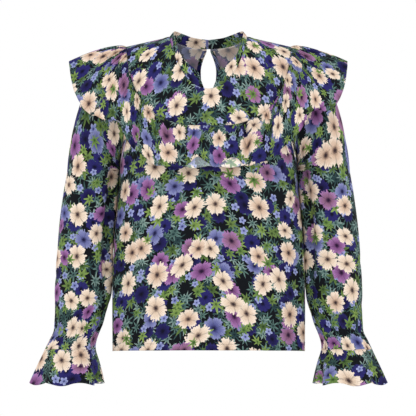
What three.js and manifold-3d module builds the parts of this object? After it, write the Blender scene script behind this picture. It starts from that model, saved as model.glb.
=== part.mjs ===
// A long-sleeved blouse in its worn, filled-out form, with no wearer inside.
// Every piece of cloth is a thin closed wall: front yoke, front, back, two halves of a neck band,
// a gathered ruffle round the yoke in three lengths, two sleeves, two wrist flounces,
// and the facing of the keyhole at the back neck, which a button and a loop close.
// Millimetres. +Z is up, the front faces -Y, and the wearer's left side is at +X.
// The origin is the middle of the neck opening, at the height where the shoulders carry the cloth.

import * as THREE from "three";
import { mergeVertices } from "three/addons/utils/BufferGeometryUtils.js";
import Module from "manifold-3d";

// Cloth
const wall = 1.5;
const seamGap = 0.3;
const ruffleStandOff = 2.4;

// Body
const neckPointX = 75;
const shoulderTipX = 172;
const neckPointZ = 13;
const shoulderSlope = 0.227;
const shoulderY = 5;
const sideSeamY = -5;
const squareness = 2.2;
const underarmZ = -222;
const hemZ = -600;
const hemRise = 7;
const shoulderTurn = {
  front: { height: 95, length: 135 },
  back: { height: 80, length: 125 },
};

// Depths are measured from the side seam plane to the cloth in front and behind.
const torsoSections = [
  { z: 40, halfWidth: 180, front: 46, back: 68 },
  { z: 0, halfWidth: 180, front: 52, back: 78 },
  { z: -60, halfWidth: 180, front: 66, back: 98 },
  { z: -90, halfWidth: 179.5, front: 78, back: 106 },
  { z: -120, halfWidth: 179, front: 92, back: 112 },
  { z: -180, halfWidth: 176, front: 116, back: 117 },
  { z: -235, halfWidth: 172, front: 128, back: 114 },
  { z: -300, halfWidth: 176, front: 127, back: 106 },
  { z: -360, halfWidth: 182, front: 123, back: 102 },
  { z: -420, halfWidth: 185, front: 120, back: 102 },
  { z: -500, halfWidth: 186.5, front: 118, back: 106 },
  { z: -600, halfWidth: 186, front: 117, back: 111 },
];

const armhole = [
  { z: -9, x: 172 },
  { z: -40, x: 170 },
  { z: -80, x: 166 },
  { z: -120, x: 163 },
  { z: -160, x: 162 },
  { z: -195, x: 166 },
  { z: -222, x: 172 },
];

// Neckline and yoke seam of the half at +X, from the centre front up to the shoulder.
const yokeLines = [
  { neckX: 0, neckZ: -91, seamX: 0, seamZ: -163 },
  { neckX: 22, neckZ: -86, seamX: 55, seamZ: -160 },
  { neckX: 42, neckZ: -69, seamX: 104, seamZ: -139 },
  { neckX: 57, neckZ: -46, seamX: 133, seamZ: -107 },
  { neckX: 67, neckZ: -21, seamX: 150, seamZ: -68 },
  { neckX: 73, neckZ: -1, seamX: 158, seamZ: -31 },
  { neckX: 75, neckZ: 13, seamX: 160, seamZ: -6.3 },
];
const yokeStepsPerLine = 2.5;
const yokeSteps = (yokeLines.length - 1) * yokeStepsPerLine;
const yokeRows = 5;

const backNeckline = [
  { x: 0, z: -8 },
  { x: 25, z: -7 },
  { x: 50, z: -2 },
  { x: 66, z: 6 },
  { x: 75, z: 13 },
];
const backNeckSteps = 6;
const backShoulderSteps = 6;

// Panel rows: above the underarm they follow the armhole, below it they run round to the hem.
const armholeSteps = 8;
const lowerSteps = 10;
const blendLength = 150;
const besideArmShares = { none: 0.6, rise: 0.3 };
const underarmRounding = 18;
const frontSeamShare = 0.93;
const foldFreeShare = 0.08;

// Soft folds of the front and back, as a share of the way from centre to side seam.
const bodyFolds = [
  { side: "front", at: -0.82, depth: 5, spread: 0.1, top: -250, full: -460 },
  { side: "front", at: -0.36, depth: 3, spread: 0.12, top: -270, full: -560 },
  { side: "front", at: 0.08, depth: 3, spread: 0.13, top: -260, full: -580 },
  { side: "front", at: 0.47, depth: 4, spread: 0.11, top: -270, full: -560 },
  { side: "front", at: 0.84, depth: 5, spread: 0.1, top: -250, full: -460 },
  { side: "back", at: -0.7, depth: 5, spread: 0.13, top: -200, full: -520 },
  { side: "back", at: -0.22, depth: 4, spread: 0.13, top: -240, full: -560 },
  { side: "back", at: 0.28, depth: 4, spread: 0.13, top: -230, full: -560 },
  { side: "back", at: 0.72, depth: 5, spread: 0.13, top: -200, full: -520 },
];

// Neck band: its top edge from the front end round to the centre back, by share of its length.
// Its front end starts a few columns of the yoke from the centre, so a notch is left open there.
const bandFrontColumn = 1;
const bandBackGap = 1.2;
const bandRows = 2;
const bandTop = [
  { share: 0, x: 21, y: -73, z: -57 },
  { share: 0.14, x: 38, y: -64, z: -43 },
  { share: 0.3, x: 55, y: -44, z: -22 },
  { share: 0.43, x: 64, y: -20, z: 4 },
  { share: 0.56, x: 68, y: 8, z: 23 },
  { share: 0.7, x: 55, y: 36, z: 22 },
  { share: 0.85, x: 30, y: 56, z: 14 },
  { share: 1, x: 1.2, y: 62, z: 10 },
];

// Ruffle of the half at +X: its seam and its free edge, from the centre front over the shoulder
// to its end at the back.
const ruffleLines = [
  { seamX: 0, seamZ: -163, x: 0, y: -152, z: -250 },
  { seamX: 55, seamZ: -160, x: 59, y: -149, z: -249 },
  { seamX: 104, seamZ: -139, x: 112, y: -136, z: -233 },
  { seamX: 133, seamZ: -107, x: 155, y: -113, z: -196 },
  { seamX: 150, seamZ: -68, x: 197, y: -97, z: -160 },
  { seamX: 158, seamZ: -31, x: 236, y: -80, z: -134 },
  { seamX: 160, seamZ: -15, x: 261, y: -48, z: -92 },
  { seamX: 160.5, seamZ: -6.4, x: 272, y: -4, z: -33 },
  { seamX: 161, seamZ: -16, x: 264, y: 36, z: -50 },
  { seamX: 160, seamZ: -50, x: 238, y: 66, z: -84 },
  { seamX: 158, seamZ: -90, x: 206, y: 86, z: -122 },
  { seamX: 157, seamZ: -128, x: 176, y: 90, z: -152 },
];
const shoulderLine = 7;
const frontRuffleSteps = 48;
const shoulderRuffleSteps = 18;
const ruffleRows = 4;
const ruffleBulge = 12;

// Ruffle folds, by length along the free edge from the centre front, negative towards -X.
const ruffleFolds = [
  { at: -398, out: 7, spread: 30 },
  { at: -322, out: 10, spread: 27 },
  { at: -254, out: 12, spread: 23 },
  { at: -192, out: 15, spread: 20 },
  { at: -134, out: 18, spread: 19 },
  { at: -74, out: 17, spread: 20 },
  { at: -16, out: 18, spread: 19 },
  { at: 44, out: 17, spread: 20 },
  { at: 99, out: 20, spread: 17 },
  { at: 152, out: 15, spread: 19 },
  { at: 208, out: 14, spread: 21 },
  { at: 272, out: 11, spread: 25 },
  { at: 350, out: 8, spread: 30 },
];
const ruffleTrough = 5;
const ruffleFoldStart = 1.4;
const ruffleBulgeAt = 0.45;
const ruffleEndLines = 2;

// Sleeve at +X below the armhole, down to the gathers at the wrist and the flounce below them.
const sleeveSections = [
  { z: -250, x: 225, y: -2, halfWidth: 50.5, halfDepth: 56 },
  { z: -300, x: 230.8, y: -4, halfWidth: 53.2, halfDepth: 54 },
  { z: -360, x: 237.5, y: -8, halfWidth: 54, halfDepth: 52 },
  { z: -420, x: 241.2, y: -13, halfWidth: 54.8, halfDepth: 50 },
  { z: -480, x: 243.4, y: -19, halfWidth: 55.6, halfDepth: 48 },
  { z: -520, x: 248, y: -23, halfWidth: 50, halfDepth: 42 },
  { z: -545, x: 252, y: -26, halfWidth: 45, halfDepth: 35 },
  { z: -561, x: 256, y: -28, halfWidth: 41.5, halfDepth: 29 },
  { z: -578, x: 263, y: -30, halfWidth: 43.5, halfDepth: 34 },
  { z: -594, x: 267.5, y: -32, halfWidth: 47.5, halfDepth: 41 },
  { z: -618, x: 269.5, y: -34, halfWidth: 56, halfDepth: 51 },
  { z: -638, x: 271.5, y: -35, halfWidth: 61.5, halfDepth: 56 },
  { z: -660, x: 274, y: -36, halfWidth: 66, halfDepth: 60 },
];

// Heights of the rounds. A sleeve is one piece of cloth, made here as a head and two tubes, and the
// flounce hangs from the lower one.
const sleeveHeights = {
  head: [-250],
  upper: [-250, -285, -325, -370, -420],
  lower: [-420, -470, -510, -538, -553, -567, -580, -594],
  flounce: [-594, -604, -616, -630, -645, -660],
};
const sleeveRing = 4 * armholeSteps;
const capSteps = 7;

// Sleeve cap: how far the cloth runs on from the armhole before it bends, and how long it comes
// down straight, over the shoulder and under the arm, with its slope at both ends of the armhole.
const sleeveCap = {
  overShoulder: { leave: 55, straight: 105, outward: 1, downward: 0.25 },
  underArm: { leave: 7, straight: 9, outward: 0.4, downward: 1 },
  inward: 0.05,
  crowding: 1.15,
};
const seamLean = { full: 0.5, none: -0.35 };
const wristZ = -561;
const wristGathers = { count: 8, depth: 2.2, reach: 34 };
const flareWaves = { count: 6, depth: 7, hemLift: 3, turn: 0.6 };

// Keyhole of the back neck, half outline from the neckline down to its lowest point.
const keyhole = [
  { x: 3, z: 4 },
  { x: 4, z: -12 },
  { x: 10, z: -27 },
  { x: 14.5, z: -43 },
  { x: 15.2, z: -56 },
  { x: 13.5, z: -74 },
  { x: 8, z: -90 },
  { x: 0, z: -97 },
];
const keyholeMiddleZ = -52;
const keyholeSteps = 14;
const facing = { width: 8, setBack: 0.5, wall: 1, topZ: -12 };
const button = { radius: 4.5, stemRadius: 1.8, stemHeight: 2.2, height: 4.4, x: -5.5, z: -4 };
const loop = { thickness: 1.2, endX: 4, steps: 22, sides: 8 };

const wasm = await Module();
wasm.setup();

const clamp = (value, low, high) => Math.min(Math.max(value, low), high);
const mix = (a, b, t) => a + (b - a) * t;
const smooth = (t) => t * t * (3 - 2 * t);

// Smooth value of one named column of a table, at a place in its key column.
function along(rows, key, name, at) {
  const last = rows.length - 1;
  const falling = rows[last][key] < rows[0][key];
  const next = rows.findIndex((row) => (falling ? row[key] <= at : row[key] >= at));
  const i = next < 0 ? last - 1 : clamp(next - 1, 0, last - 1);
  const slope = (j) => {
    const before = rows[Math.max(j - 1, 0)];
    const after = rows[Math.min(j + 1, last)];
    return (after[name] - before[name]) / (after[key] - before[key]);
  };
  const from = rows[i];
  const to = rows[i + 1];
  const span = to[key] - from[key];
  const t = clamp((at - from[key]) / span, 0, 1);
  const bend = t * t * (3 - 2 * t);
  const leave = t * (1 - t) * (1 - t);
  const arrive = t * t * (t - 1);
  return mix(from[name], to[name], bend) + span * (slope(i) * leave + slope(i + 1) * arrive);
}

// The same, by a table's row number.
function byRow(rows, name, row) {
  const numbered = rows.map((entry, number) => ({ number, value: entry[name] }));
  return along(numbered, "number", "value", row);
}

// Torso: where the cloth of the front or back lies
const sideSign = (side) => (side === "front" ? -1 : 1);
const shoulderZ = (x) => neckPointZ - shoulderSlope * (Math.abs(x) - neckPointX);
const halfWidthAt = (z) => along(torsoSections, "z", "halfWidth", z);

// Cloth length from the shoulder line down to height z, and back again.
function lengthAt(x, z, side) {
  const turn = shoulderTurn[side];
  const drop = Math.max(shoulderZ(x) - z, 0);
  if (drop >= turn.height) return turn.length + drop - turn.height;
  return (turn.length * Math.acos(1 - drop / turn.height)) / (Math.PI / 2);
}

function heightAt(x, length, side) {
  const turn = shoulderTurn[side];
  if (length >= turn.length) return shoulderZ(x) - turn.height - (length - turn.length);
  return shoulderZ(x) - turn.height * (1 - Math.cos(((Math.PI / 2) * length) / turn.length));
}

function torsoPoint(x, length, side) {
  const turn = shoulderTurn[side];
  const z = heightAt(x, length, side);
  const share = Math.min(Math.abs(x) / halfWidthAt(z), 1);
  const turned = length >= turn.length ? 1 : Math.sin(((Math.PI / 2) * length) / turn.length);
  const depth = along(torsoSections, "z", side, z) * turned;
  const out = Math.max(depth * (1 - share ** squareness) ** (1 / squareness), seamGap / 2);
  return new THREE.Vector3(x, mix(shoulderY, sideSeamY, turned) + sideSign(side) * out, z);
}

const torsoAt = (x, z, side) => torsoPoint(x, lengthAt(x, z, side), side);

// Outward direction of the torso. On a shoulder or side seam it lies in the plane of the seam.
function torsoNormal(x, length, side) {
  const step = 1;
  const middle = Math.max(length, step);
  const across = torsoPoint(x + step, middle, side).sub(torsoPoint(x - step, middle, side));
  const down = torsoPoint(x, middle + step, side).sub(torsoPoint(x, middle - step, side));
  const normal = down.cross(across);
  if (side === "back") normal.negate();
  const z = heightAt(x, length, side);
  if (length <= step || halfWidthAt(z) - Math.abs(x) < step / 10) normal.y = 0;
  return normal.normalize();
}

const torsoNormalAt = (point, side) => torsoNormal(point.x, lengthAt(point.x, point.z, side), side);

// Cloth walls
function faceNormals(rows, closed) {
  const count = rows[0].length;
  const at = (row, i) => row[closed ? (i + count) % count : clamp(i, 0, count - 1)];
  return rows.map((row, j) =>
    row.map((_, i) => {
      const above = rows[Math.max(j - 1, 0)][i];
      const below = rows[Math.min(j + 1, rows.length - 1)][i];
      const across = at(row, i + 1).clone().sub(at(row, i - 1));
      return below.clone().sub(above).cross(across).normalize();
    }),
  );
}

// A closed wall behind a face given as rows of points, seen from outside with the rows going down
// and the columns going right. A tube's columns join up again. Rows of given directions stand in for
// the face's own where pieces meet, so that the walls of both pieces lean alike.
function clothWall(rows, { closed = false, thickness = wall, given = [] } = {}) {
  const count = rows[0].length;
  const normals = faceNormals(rows, closed).map((row, j) => given[j] ?? row);
  const face = rows.flat();
  const lining = face.map((point, k) =>
    point.clone().addScaledVector(normals[Math.floor(k / count)][k % count], -thickness),
  );
  const inside = face.length;
  const triangles = [];
  const quad = (a, b, c, d) => triangles.push(a, b, c, a, c, d);
  const columns = closed ? count : count - 1;
  const index = (j, i) => j * count + (i % count);
  for (let j = 0; j < rows.length - 1; j++) {
    for (let i = 0; i < columns; i++) {
      const [a, b, c, d] = [index(j, i), index(j, i + 1), index(j + 1, i + 1), index(j + 1, i)];
      const short = face[a].distanceTo(face[c]) <= face[b].distanceTo(face[d]);
      if (short) {
        quad(a, d, c, b);
        quad(inside + a, inside + b, inside + c, inside + d);
      } else {
        quad(b, a, d, c);
        quad(inside + b, inside + c, inside + d, inside + a);
      }
    }
  }
  const bottom = rows.length - 1;
  for (let i = 0; i < columns; i++) {
    quad(index(0, i), index(0, i + 1), inside + index(0, i + 1), inside + index(0, i));
    quad(index(bottom, i + 1), index(bottom, i), inside + index(bottom, i), inside + index(bottom, i + 1));
  }
  if (!closed) {
    for (let j = 0; j < bottom; j++) {
      quad(index(j + 1, 0), index(j, 0), inside + index(j, 0), inside + index(j + 1, 0));
      const right = count - 1;
      quad(index(j, right), index(j + 1, right), inside + index(j + 1, right), inside + index(j, right));
    }
  }
  const positions = [...face, ...lining].flatMap((point) => point.toArray());
  return new THREE.BufferGeometry()
    .setAttribute("position", new THREE.Float32BufferAttribute(positions, 3))
    .setIndex(triangles);
}

// The same piece on the wearer's other side.
function mirrorImage(geometry) {
  const mirror = geometry.clone().scale(-1, 1, 1);
  const corners = Array.from(mirror.index.array);
  for (let i = 0; i < corners.length; i += 3) {
    [corners[i + 1], corners[i + 2]] = [corners[i + 2], corners[i + 1]];
  }
  return mirror.setIndex(corners);
}

const torsoNormals = (rows, side) => rows.map((row) => row.map((point) => torsoNormalAt(point, side)));

// Yoke
// Neckline or yoke seam at a place from -1, on the shoulder at -X, to 1, on the one at +X.
function yokeCurve(place, line) {
  const row = Math.abs(place) * (yokeLines.length - 1);
  const x = byRow(yokeLines, line + "X", row);
  const z = Math.min(byRow(yokeLines, line + "Z", row), shoulderZ(x));
  return { x: Math.sign(place) * x, length: lengthAt(x, z, "front") };
}

// The same curve moved sideways on the cloth, down and out for a positive distance.
function yokeCurveMoved(place, line, distance) {
  const step = 0.01;
  const from = yokeCurve(clamp(place - step, -1, 1), line);
  const to = yokeCurve(clamp(place + step, -1, 1), line);
  const run = Math.hypot(to.x - from.x, to.length - from.length);
  const here = yokeCurve(place, line);
  return {
    x: here.x - (distance * (to.length - from.length)) / run,
    length: here.length + (distance * (to.x - from.x)) / run,
  };
}

const yokePlaces = Array.from({ length: 2 * yokeSteps + 1 }, (_, i) => i / yokeSteps - 1);

// The cloth length at a shoulder edge, which keeps half a seam gap from the seam.
const shoulderEdge = (length) => Math.max(length, seamGap);

function frontYoke() {
  const rows = [];
  for (let j = 0; j <= yokeRows; j++) {
    rows.push(
      yokePlaces.map((place) => {
        const neck = yokeCurveMoved(place, "neck", seamGap / 2);
        const seam = yokeCurveMoved(place, "seam", -seamGap / 2);
        const t = j / yokeRows;
        const atShoulder = Math.abs(place) === 1;
        const length = atShoulder ? seamGap : shoulderEdge(mix(neck.length, seam.length, t));
        return torsoPoint(mix(neck.x, seam.x, t), length, "front");
      }),
    );
  }
  return clothWall(rows, { given: torsoNormals(rows, "front") });
}

// Front and back panels
// Half angle of the torso ring that the cloth covers at height z.
function ringAngle(z) {
  if (z <= underarmZ) return Math.PI / 2;
  const share = along(armhole, "z", "x", Math.min(z, armhole[0].z)) / halfWidthAt(z);
  const open = Math.asin(Math.min(share, 1));
  return mix(Math.PI / 2, open, smooth(clamp((z - underarmZ) / underarmRounding, 0, 1)));
}

function foldDepth(side, share, z) {
  return bodyFolds
    .filter((fold) => fold.side === side)
    .reduce((sum, fold) => {
      const grow = smooth(clamp((fold.top - z) / (fold.top - fold.full), 0, 1));
      return sum + fold.depth * grow * Math.exp(-(((share - fold.at) / fold.spread) ** 2));
    }, 0);
}

const hemAt = (share) => hemZ + hemRise * (1 - share * share);

// Down one column of a panel: start is its top point, share its place from the centre to the side.
// Columns beside the arm come level with the side seam's points towards the underarm.
function panelColumn(start, share, side) {
  const rows = armholeSteps + lowerSteps;
  const sideTop = armhole[0].z;
  const armShare = (sideTop - underarmZ) / (sideTop - hemZ);
  const startZ = heightAt(start.x, start.length, side);
  const besideArm = smooth(clamp((Math.abs(share) - besideArmShares.none) / besideArmShares.rise, 0, 1));
  const points = [];
  for (let j = 0; j <= rows; j++) {
    const down =
      j <= armholeSteps
        ? (armShare * j) / armholeSteps
        : mix(armShare, 1, (j - armholeSteps) / lowerSteps);
    const levelShare = besideArm * smooth(clamp(down / armShare, 0, 1));
    let x = start.x;
    let length = start.length;
    for (let pass = 0; pass < 4; pass++) {
      const hemLength = lengthAt(x, hemAt(share), side);
      const level = lengthAt(x, mix(startZ, hemAt(share), down), side);
      length = Math.abs(share) === 1
        ? lengthAt(x, mix(sideTop, hemAt(share), down), side)
        : mix(mix(start.length, hemLength, down), level, levelShare);
      const z = heightAt(x, length, side);
      const ringX = halfWidthAt(z) * Math.sin(share * ringAngle(z));
      const blend = Math.abs(share) === 1 ? 1 : smooth(clamp((startZ - z) / blendLength, 0, 1));
      x = mix(start.x, ringX, blend);
    }
    const point = torsoPoint(x, shoulderEdge(length), side);
    const normal = torsoNormal(x, length, side);
    const seamFree = smooth(clamp((1 - Math.abs(share)) / foldFreeShare, 0, 1));
    points.push(point.addScaledVector(normal, seamFree * foldDepth(side, share, point.z)));
  }
  return points;
}

const columnsToRows = (columns) => columns[0].map((_, j) => columns.map((column) => column[j]));

// Front panel below the yoke seam. Its last columns run down the armholes and side seams.
function frontColumns() {
  const tip = { x: armhole[0].x, length: seamGap };
  const edge = (sign) => panelColumn({ x: sign * tip.x, length: tip.length }, sign, "front");
  const inner = yokePlaces.map((place) => {
    const seam = yokeCurveMoved(place, "seam", seamGap / 2);
    const start = { x: seam.x, length: shoulderEdge(Math.abs(place) === 1 ? 0 : seam.length) };
    return panelColumn(start, frontSeamShare * place, "front");
  });
  return [edge(-1), ...inner, edge(1)];
}

function frontPanel() {
  const rows = columnsToRows(frontColumns());
  return clothWall(rows, { given: torsoNormals(rows, "front") });
}

function backColumns() {
  const places = [];
  for (let i = 0; i <= backNeckSteps; i++) {
    const x = (neckPointX * i) / backNeckSteps;
    places.push({ x, z: along(backNeckline, "x", "z", x) });
  }
  for (let i = 1; i <= backShoulderSteps; i++) {
    const x = mix(neckPointX, shoulderTipX, i / backShoulderSteps);
    places.push({ x, z: shoulderZ(x) });
  }
  const half = places.map(({ x, z }) => {
    const share = x === shoulderTipX ? 1 : x / (shoulderTipX + 2);
    const length = x >= neckPointX ? seamGap : lengthAt(x, z, "back") + seamGap / 2;
    return panelColumn({ x, length }, share, "back");
  });
  const left = half.slice(1).map((column) => column.map((p) => new THREE.Vector3(-p.x, p.y, p.z)));
  return [...half.reverse(), ...left];
}

// Solids for cutting
function toSolid(geometry) {
  const bare = geometry.clone();
  bare.deleteAttribute("normal");
  bare.deleteAttribute("uv");
  const merged = mergeVertices(bare, 1e-4);
  return new wasm.Manifold(
    new wasm.Mesh({
      numProp: 3,
      vertProperties: merged.attributes.position.array,
      triVerts: new Uint32Array(merged.index.array),
    }),
  );
}

function fromSolid(solid) {
  const mesh = solid.getMesh();
  return new THREE.BufferGeometry()
    .setAttribute("position", new THREE.BufferAttribute(mesh.vertProperties, 3))
    .setIndex(new THREE.BufferAttribute(mesh.triVerts, 1));
}

// Back panel with the keyhole cut through it
function keyholeSide(steps) {
  return Array.from({ length: steps + 1 }, (_, i) => {
    const row = (i * (keyhole.length - 1)) / steps;
    return { x: Math.max(byRow(keyhole, "x", row), 0), z: byRow(keyhole, "z", row) };
  });
}

// A block with the keyhole's outline, or one made wider by a margin, as long as the back is deep.
function keyholeBlock(margin, topZ = Infinity) {
  const side = keyholeSide(keyholeSteps)
    .filter(({ z }) => z < topZ)
    .map(({ x, z }) => {
      const away = new THREE.Vector2(x, Math.min(z - keyholeMiddleZ, 0)).normalize();
      return new THREE.Vector2(x + away.x * margin, z + away.y * margin);
    });
  const outline = [...side, ...side.slice(0, -1).reverse().map(({ x, y }) => new THREE.Vector2(-x, y))];
  const block = new THREE.ExtrudeGeometry(new THREE.Shape(outline), { depth: 120, bevelEnabled: false });
  return toSolid(block.rotateX(Math.PI / 2).translate(0, 150, 0));
}

function backPanel() {
  const rows = columnsToRows(backColumns());
  const panel = toSolid(clothWall(rows, { given: torsoNormals(rows, "back") }));
  return fromSolid(panel.subtract(keyholeBlock(0)));
}

// Facing sewn round the keyhole: a ring of the back's own wall, moved inwards.
function keyholeFacing() {
  const rows = columnsToRows(backColumns()).slice(0, armholeSteps);
  const given = torsoNormals(rows, "back");
  const inner = rows.map((row, j) =>
    row.map((point, i) => point.clone().addScaledVector(given[j][i], -wall - seamGap)),
  );
  const lining = toSolid(clothWall(inner, { thickness: facing.wall, given }));
  const ring = keyholeBlock(facing.width, facing.topZ).subtract(keyholeBlock(facing.setBack));
  return fromSolid(lining.intersect(ring));
}

// Neck band
function neckBand() {
  const front = yokePlaces
    .filter((place) => place >= bandFrontColumn / yokeSteps)
    .map((place) => {
      const { x, length } = yokeCurveMoved(place, "neck", -seamGap / 2);
      return torsoPoint(x, place === 1 ? seamGap : length, "front");
    });
  const back = [];
  for (let i = backNeckSteps - 1; i >= 0; i--) {
    const x = Math.max((neckPointX * i) / backNeckSteps, bandBackGap);
    back.push(torsoPoint(x, lengthAt(x, along(backNeckline, "x", "z", x) + seamGap / 2, "back"), "back"));
  }
  const lower = [...front, ...back];
  const lengths = [0];
  for (let i = 1; i < lower.length; i++) {
    lengths.push(lengths[i - 1] + lower[i].distanceTo(lower[i - 1]));
  }
  const total = lengths[lengths.length - 1];
  const upper = lengths.map((length) => {
    const share = length / total;
    return new THREE.Vector3(...["x", "y", "z"].map((name) => along(bandTop, "share", name, share)));
  });
  const rows = [];
  for (let j = 0; j <= bandRows; j++) {
    rows.push(upper.map((point, i) => point.clone().lerp(lower[i], j / bandRows)));
  }
  const given = [];
  given[bandRows] = lower.map((point, i) => torsoNormalAt(point, i < front.length ? "front" : "back"));
  return clothWall(rows, { given });
}

// Ruffle
const ruffleEdgeCurve = new THREE.CatmullRomCurve3(
  ruffleLines.map(({ x, y, z }) => new THREE.Vector3(x, y, z)),
);
const edgeDivisions = 200;
const ruffleLengths = ruffleEdgeCurve.getLengths(edgeDivisions);

function ruffleEdgeLength(t) {
  const at = t * edgeDivisions;
  const whole = Math.min(Math.floor(at), edgeDivisions - 1);
  return mix(ruffleLengths[whole], ruffleLengths[whole + 1], at - whole);
}

function ruffleRelief(length) {
  const crest = ruffleFolds.reduce(
    (sum, { at, out, spread }) => sum + out * Math.exp(-(((length - at) / spread) ** 2)),
    0,
  );
  return crest - ruffleTrough;
}

// One line of the ruffle, from its seam to its free edge, at a place in the table of ruffle lines.
// At a join it steps aside by half a seam gap, back along the ruffle for -1 or on for 1.
function ruffleLine(row, sign, joinSide = 0) {
  const lastRow = ruffleLines.length - 1;
  const seamX = byRow(ruffleLines, "seamX", row);
  const seamZ = Math.min(byRow(ruffleLines, "seamZ", row), shoulderZ(seamX));
  const side = row < shoulderLine || joinSide < 0 ? "front" : "back";
  const seam = torsoAt(seamX, seamZ, side);
  const normal = torsoNormalAt(seam, side);
  seam.addScaledVector(normal, ruffleStandOff);
  const edge = ruffleEdgeCurve.getPoint(row / lastRow);
  const across = edge.clone().sub(seam);
  const beside = ruffleEdgeCurve.getTangent(row / lastRow);
  const outward = across.clone().normalize().cross(beside).normalize();
  if (outward.dot(normal) < 0) outward.negate();
  const bulge = seam.clone().lerp(edge, ruffleBulgeAt).addScaledVector(outward, ruffleBulge);
  const relief = ruffleRelief(sign * ruffleEdgeLength(row / lastRow));
  const taper = smooth(clamp((lastRow - row) / ruffleEndLines, 0, 1));
  const toNextLine = beside.clone().multiplyScalar(joinSide * seamGap / 2);
  const points = [];
  for (let j = 0; j <= ruffleRows; j++) {
    const w = j / ruffleRows;
    const point = seam.clone().multiplyScalar((1 - w) ** 2);
    point.addScaledVector(bulge, 2 * w * (1 - w)).addScaledVector(edge, w * w);
    point.addScaledVector(outward, relief * taper * w ** ruffleFoldStart).add(toNextLine);
    points.push(new THREE.Vector3(sign * point.x, point.y, point.z));
  }
  return points;
}

// Outward directions along one line, taken from the lines just beside it.
function ruffleDirections(row, sign) {
  const step = 0.05;
  const points = ruffleLine(row, sign);
  const before = ruffleLine(row - sign * step, sign);
  const after = ruffleLine(row + sign * step, sign);
  return points.map((_, j) => {
    const above = points[Math.max(j - 1, 0)];
    const below = points[Math.min(j + 1, ruffleRows)];
    return below.clone().sub(above).cross(after[j].clone().sub(before[j])).normalize();
  });
}

function ruffleWall(stations) {
  const rows = columnsToRows(stations.map(({ row, sign, join = 0 }) => ruffleLine(row, sign, join)));
  const ends = [stations[0], stations.at(-1)].map(({ row, sign }) => ruffleDirections(row, sign));
  const given = faceNormals(rows, false).map((normals, j) => {
    const shared = [...normals];
    if (stations[0].join) shared[0] = ends[0][j];
    if (stations.at(-1).join) shared[shared.length - 1] = ends[1][j];
    return shared;
  });
  return clothWall(rows, { given });
}

function frontRuffle() {
  const stations = [];
  for (let i = -frontRuffleSteps; i <= frontRuffleSteps; i++) {
    const share = Math.abs(i) / frontRuffleSteps;
    stations.push({ row: share * shoulderLine, sign: i < 0 ? -1 : 1, join: share === 1 ? -1 : 0 });
  }
  return ruffleWall(stations);
}

// The ruffle's back length on one side, from the shoulder seam to its end in the armhole.
function shoulderRuffle(sign) {
  const stations = [];
  const last = ruffleLines.length - 1;
  for (let i = 0; i <= shoulderRuffleSteps; i++) {
    const row = mix(shoulderLine, last, i / shoulderRuffleSteps);
    stations.push({ row, sign, join: i === 0 ? 1 : 0 });
  }
  return ruffleWall(sign > 0 ? stations : stations.reverse());
}

// Sleeve
// Armhole edge of the body, from the shoulder tip down the front and up the back.
function armholeRing() {
  const sideOf = (k) => (k <= 2 * armholeSteps ? "front" : "back");
  const front = frontColumns().at(-1).slice(0, armholeSteps + 1);
  const back = backColumns()[0].slice(0, armholeSteps + 1).reverse();
  const corners = [...front, ...back.slice(1)];
  corners[0] = front[0].clone().lerp(back.at(-1), 0.5);
  corners[armholeSteps] = front.at(-1).clone().lerp(back[0], 0.5);
  const ring = [];
  for (let i = 0; i < 2 * armholeSteps; i++) {
    const next = i === 2 * armholeSteps - 1 ? corners[0] : corners[i + 1];
    ring.push(corners[i], corners[i].clone().lerp(next, 0.5));
  }
  const directions = ring.map((point, k) => torsoNormalAt(point, sideOf(k)));
  return { ring, directions };
}

function sleeveSection(angle, z) {
  const at = (name) => along(sleeveSections, "z", name, z);
  const below = clamp((wristZ - z) / (wristZ - sleeveSections.at(-1).z), 0, 1);
  const pinch = Math.exp(-(((z - wristZ) / wristGathers.reach) ** 2));
  const wave = flareWaves.count * angle + flareWaves.turn;
  const relief =
    wristGathers.depth * pinch * Math.cos(wristGathers.count * angle) +
    flareWaves.depth * below * below * Math.sin(wave);
  const lift = flareWaves.hemLift * below * Math.cos(wave);
  return new THREE.Vector3(
    at("x") + (at("halfWidth") + relief) * Math.cos(angle),
    at("y") - (at("halfDepth") + relief) * Math.sin(angle),
    z + lift,
  );
}

const sleeveAngle = (k) => (2 * Math.PI * k) / sleeveRing;
const sleeveRound = (z) =>
  Array.from({ length: sleeveRing }, (_, k) => sleeveSection(sleeveAngle(k), z));

// Rings are worked out from the shoulder forwards; a wall wants them the other way round.
const turnedRing = (row) => [row[0], ...row.slice(1).reverse()];

// Rounds of one length of the sleeve, half a seam's gap short of the lengths above and below it.
function sleeveRounds(length) {
  const heights = sleeveHeights[length];
  return heights.map((z, j) => {
    const joinAbove = j === 0 && length !== "head";
    const joinBelow = j === heights.length - 1 && length !== "flounce";
    return sleeveRound(z + ((joinBelow ? 1 : 0) - (joinAbove ? 1 : 0)) * (seamGap / 2));
  });
}

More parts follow.
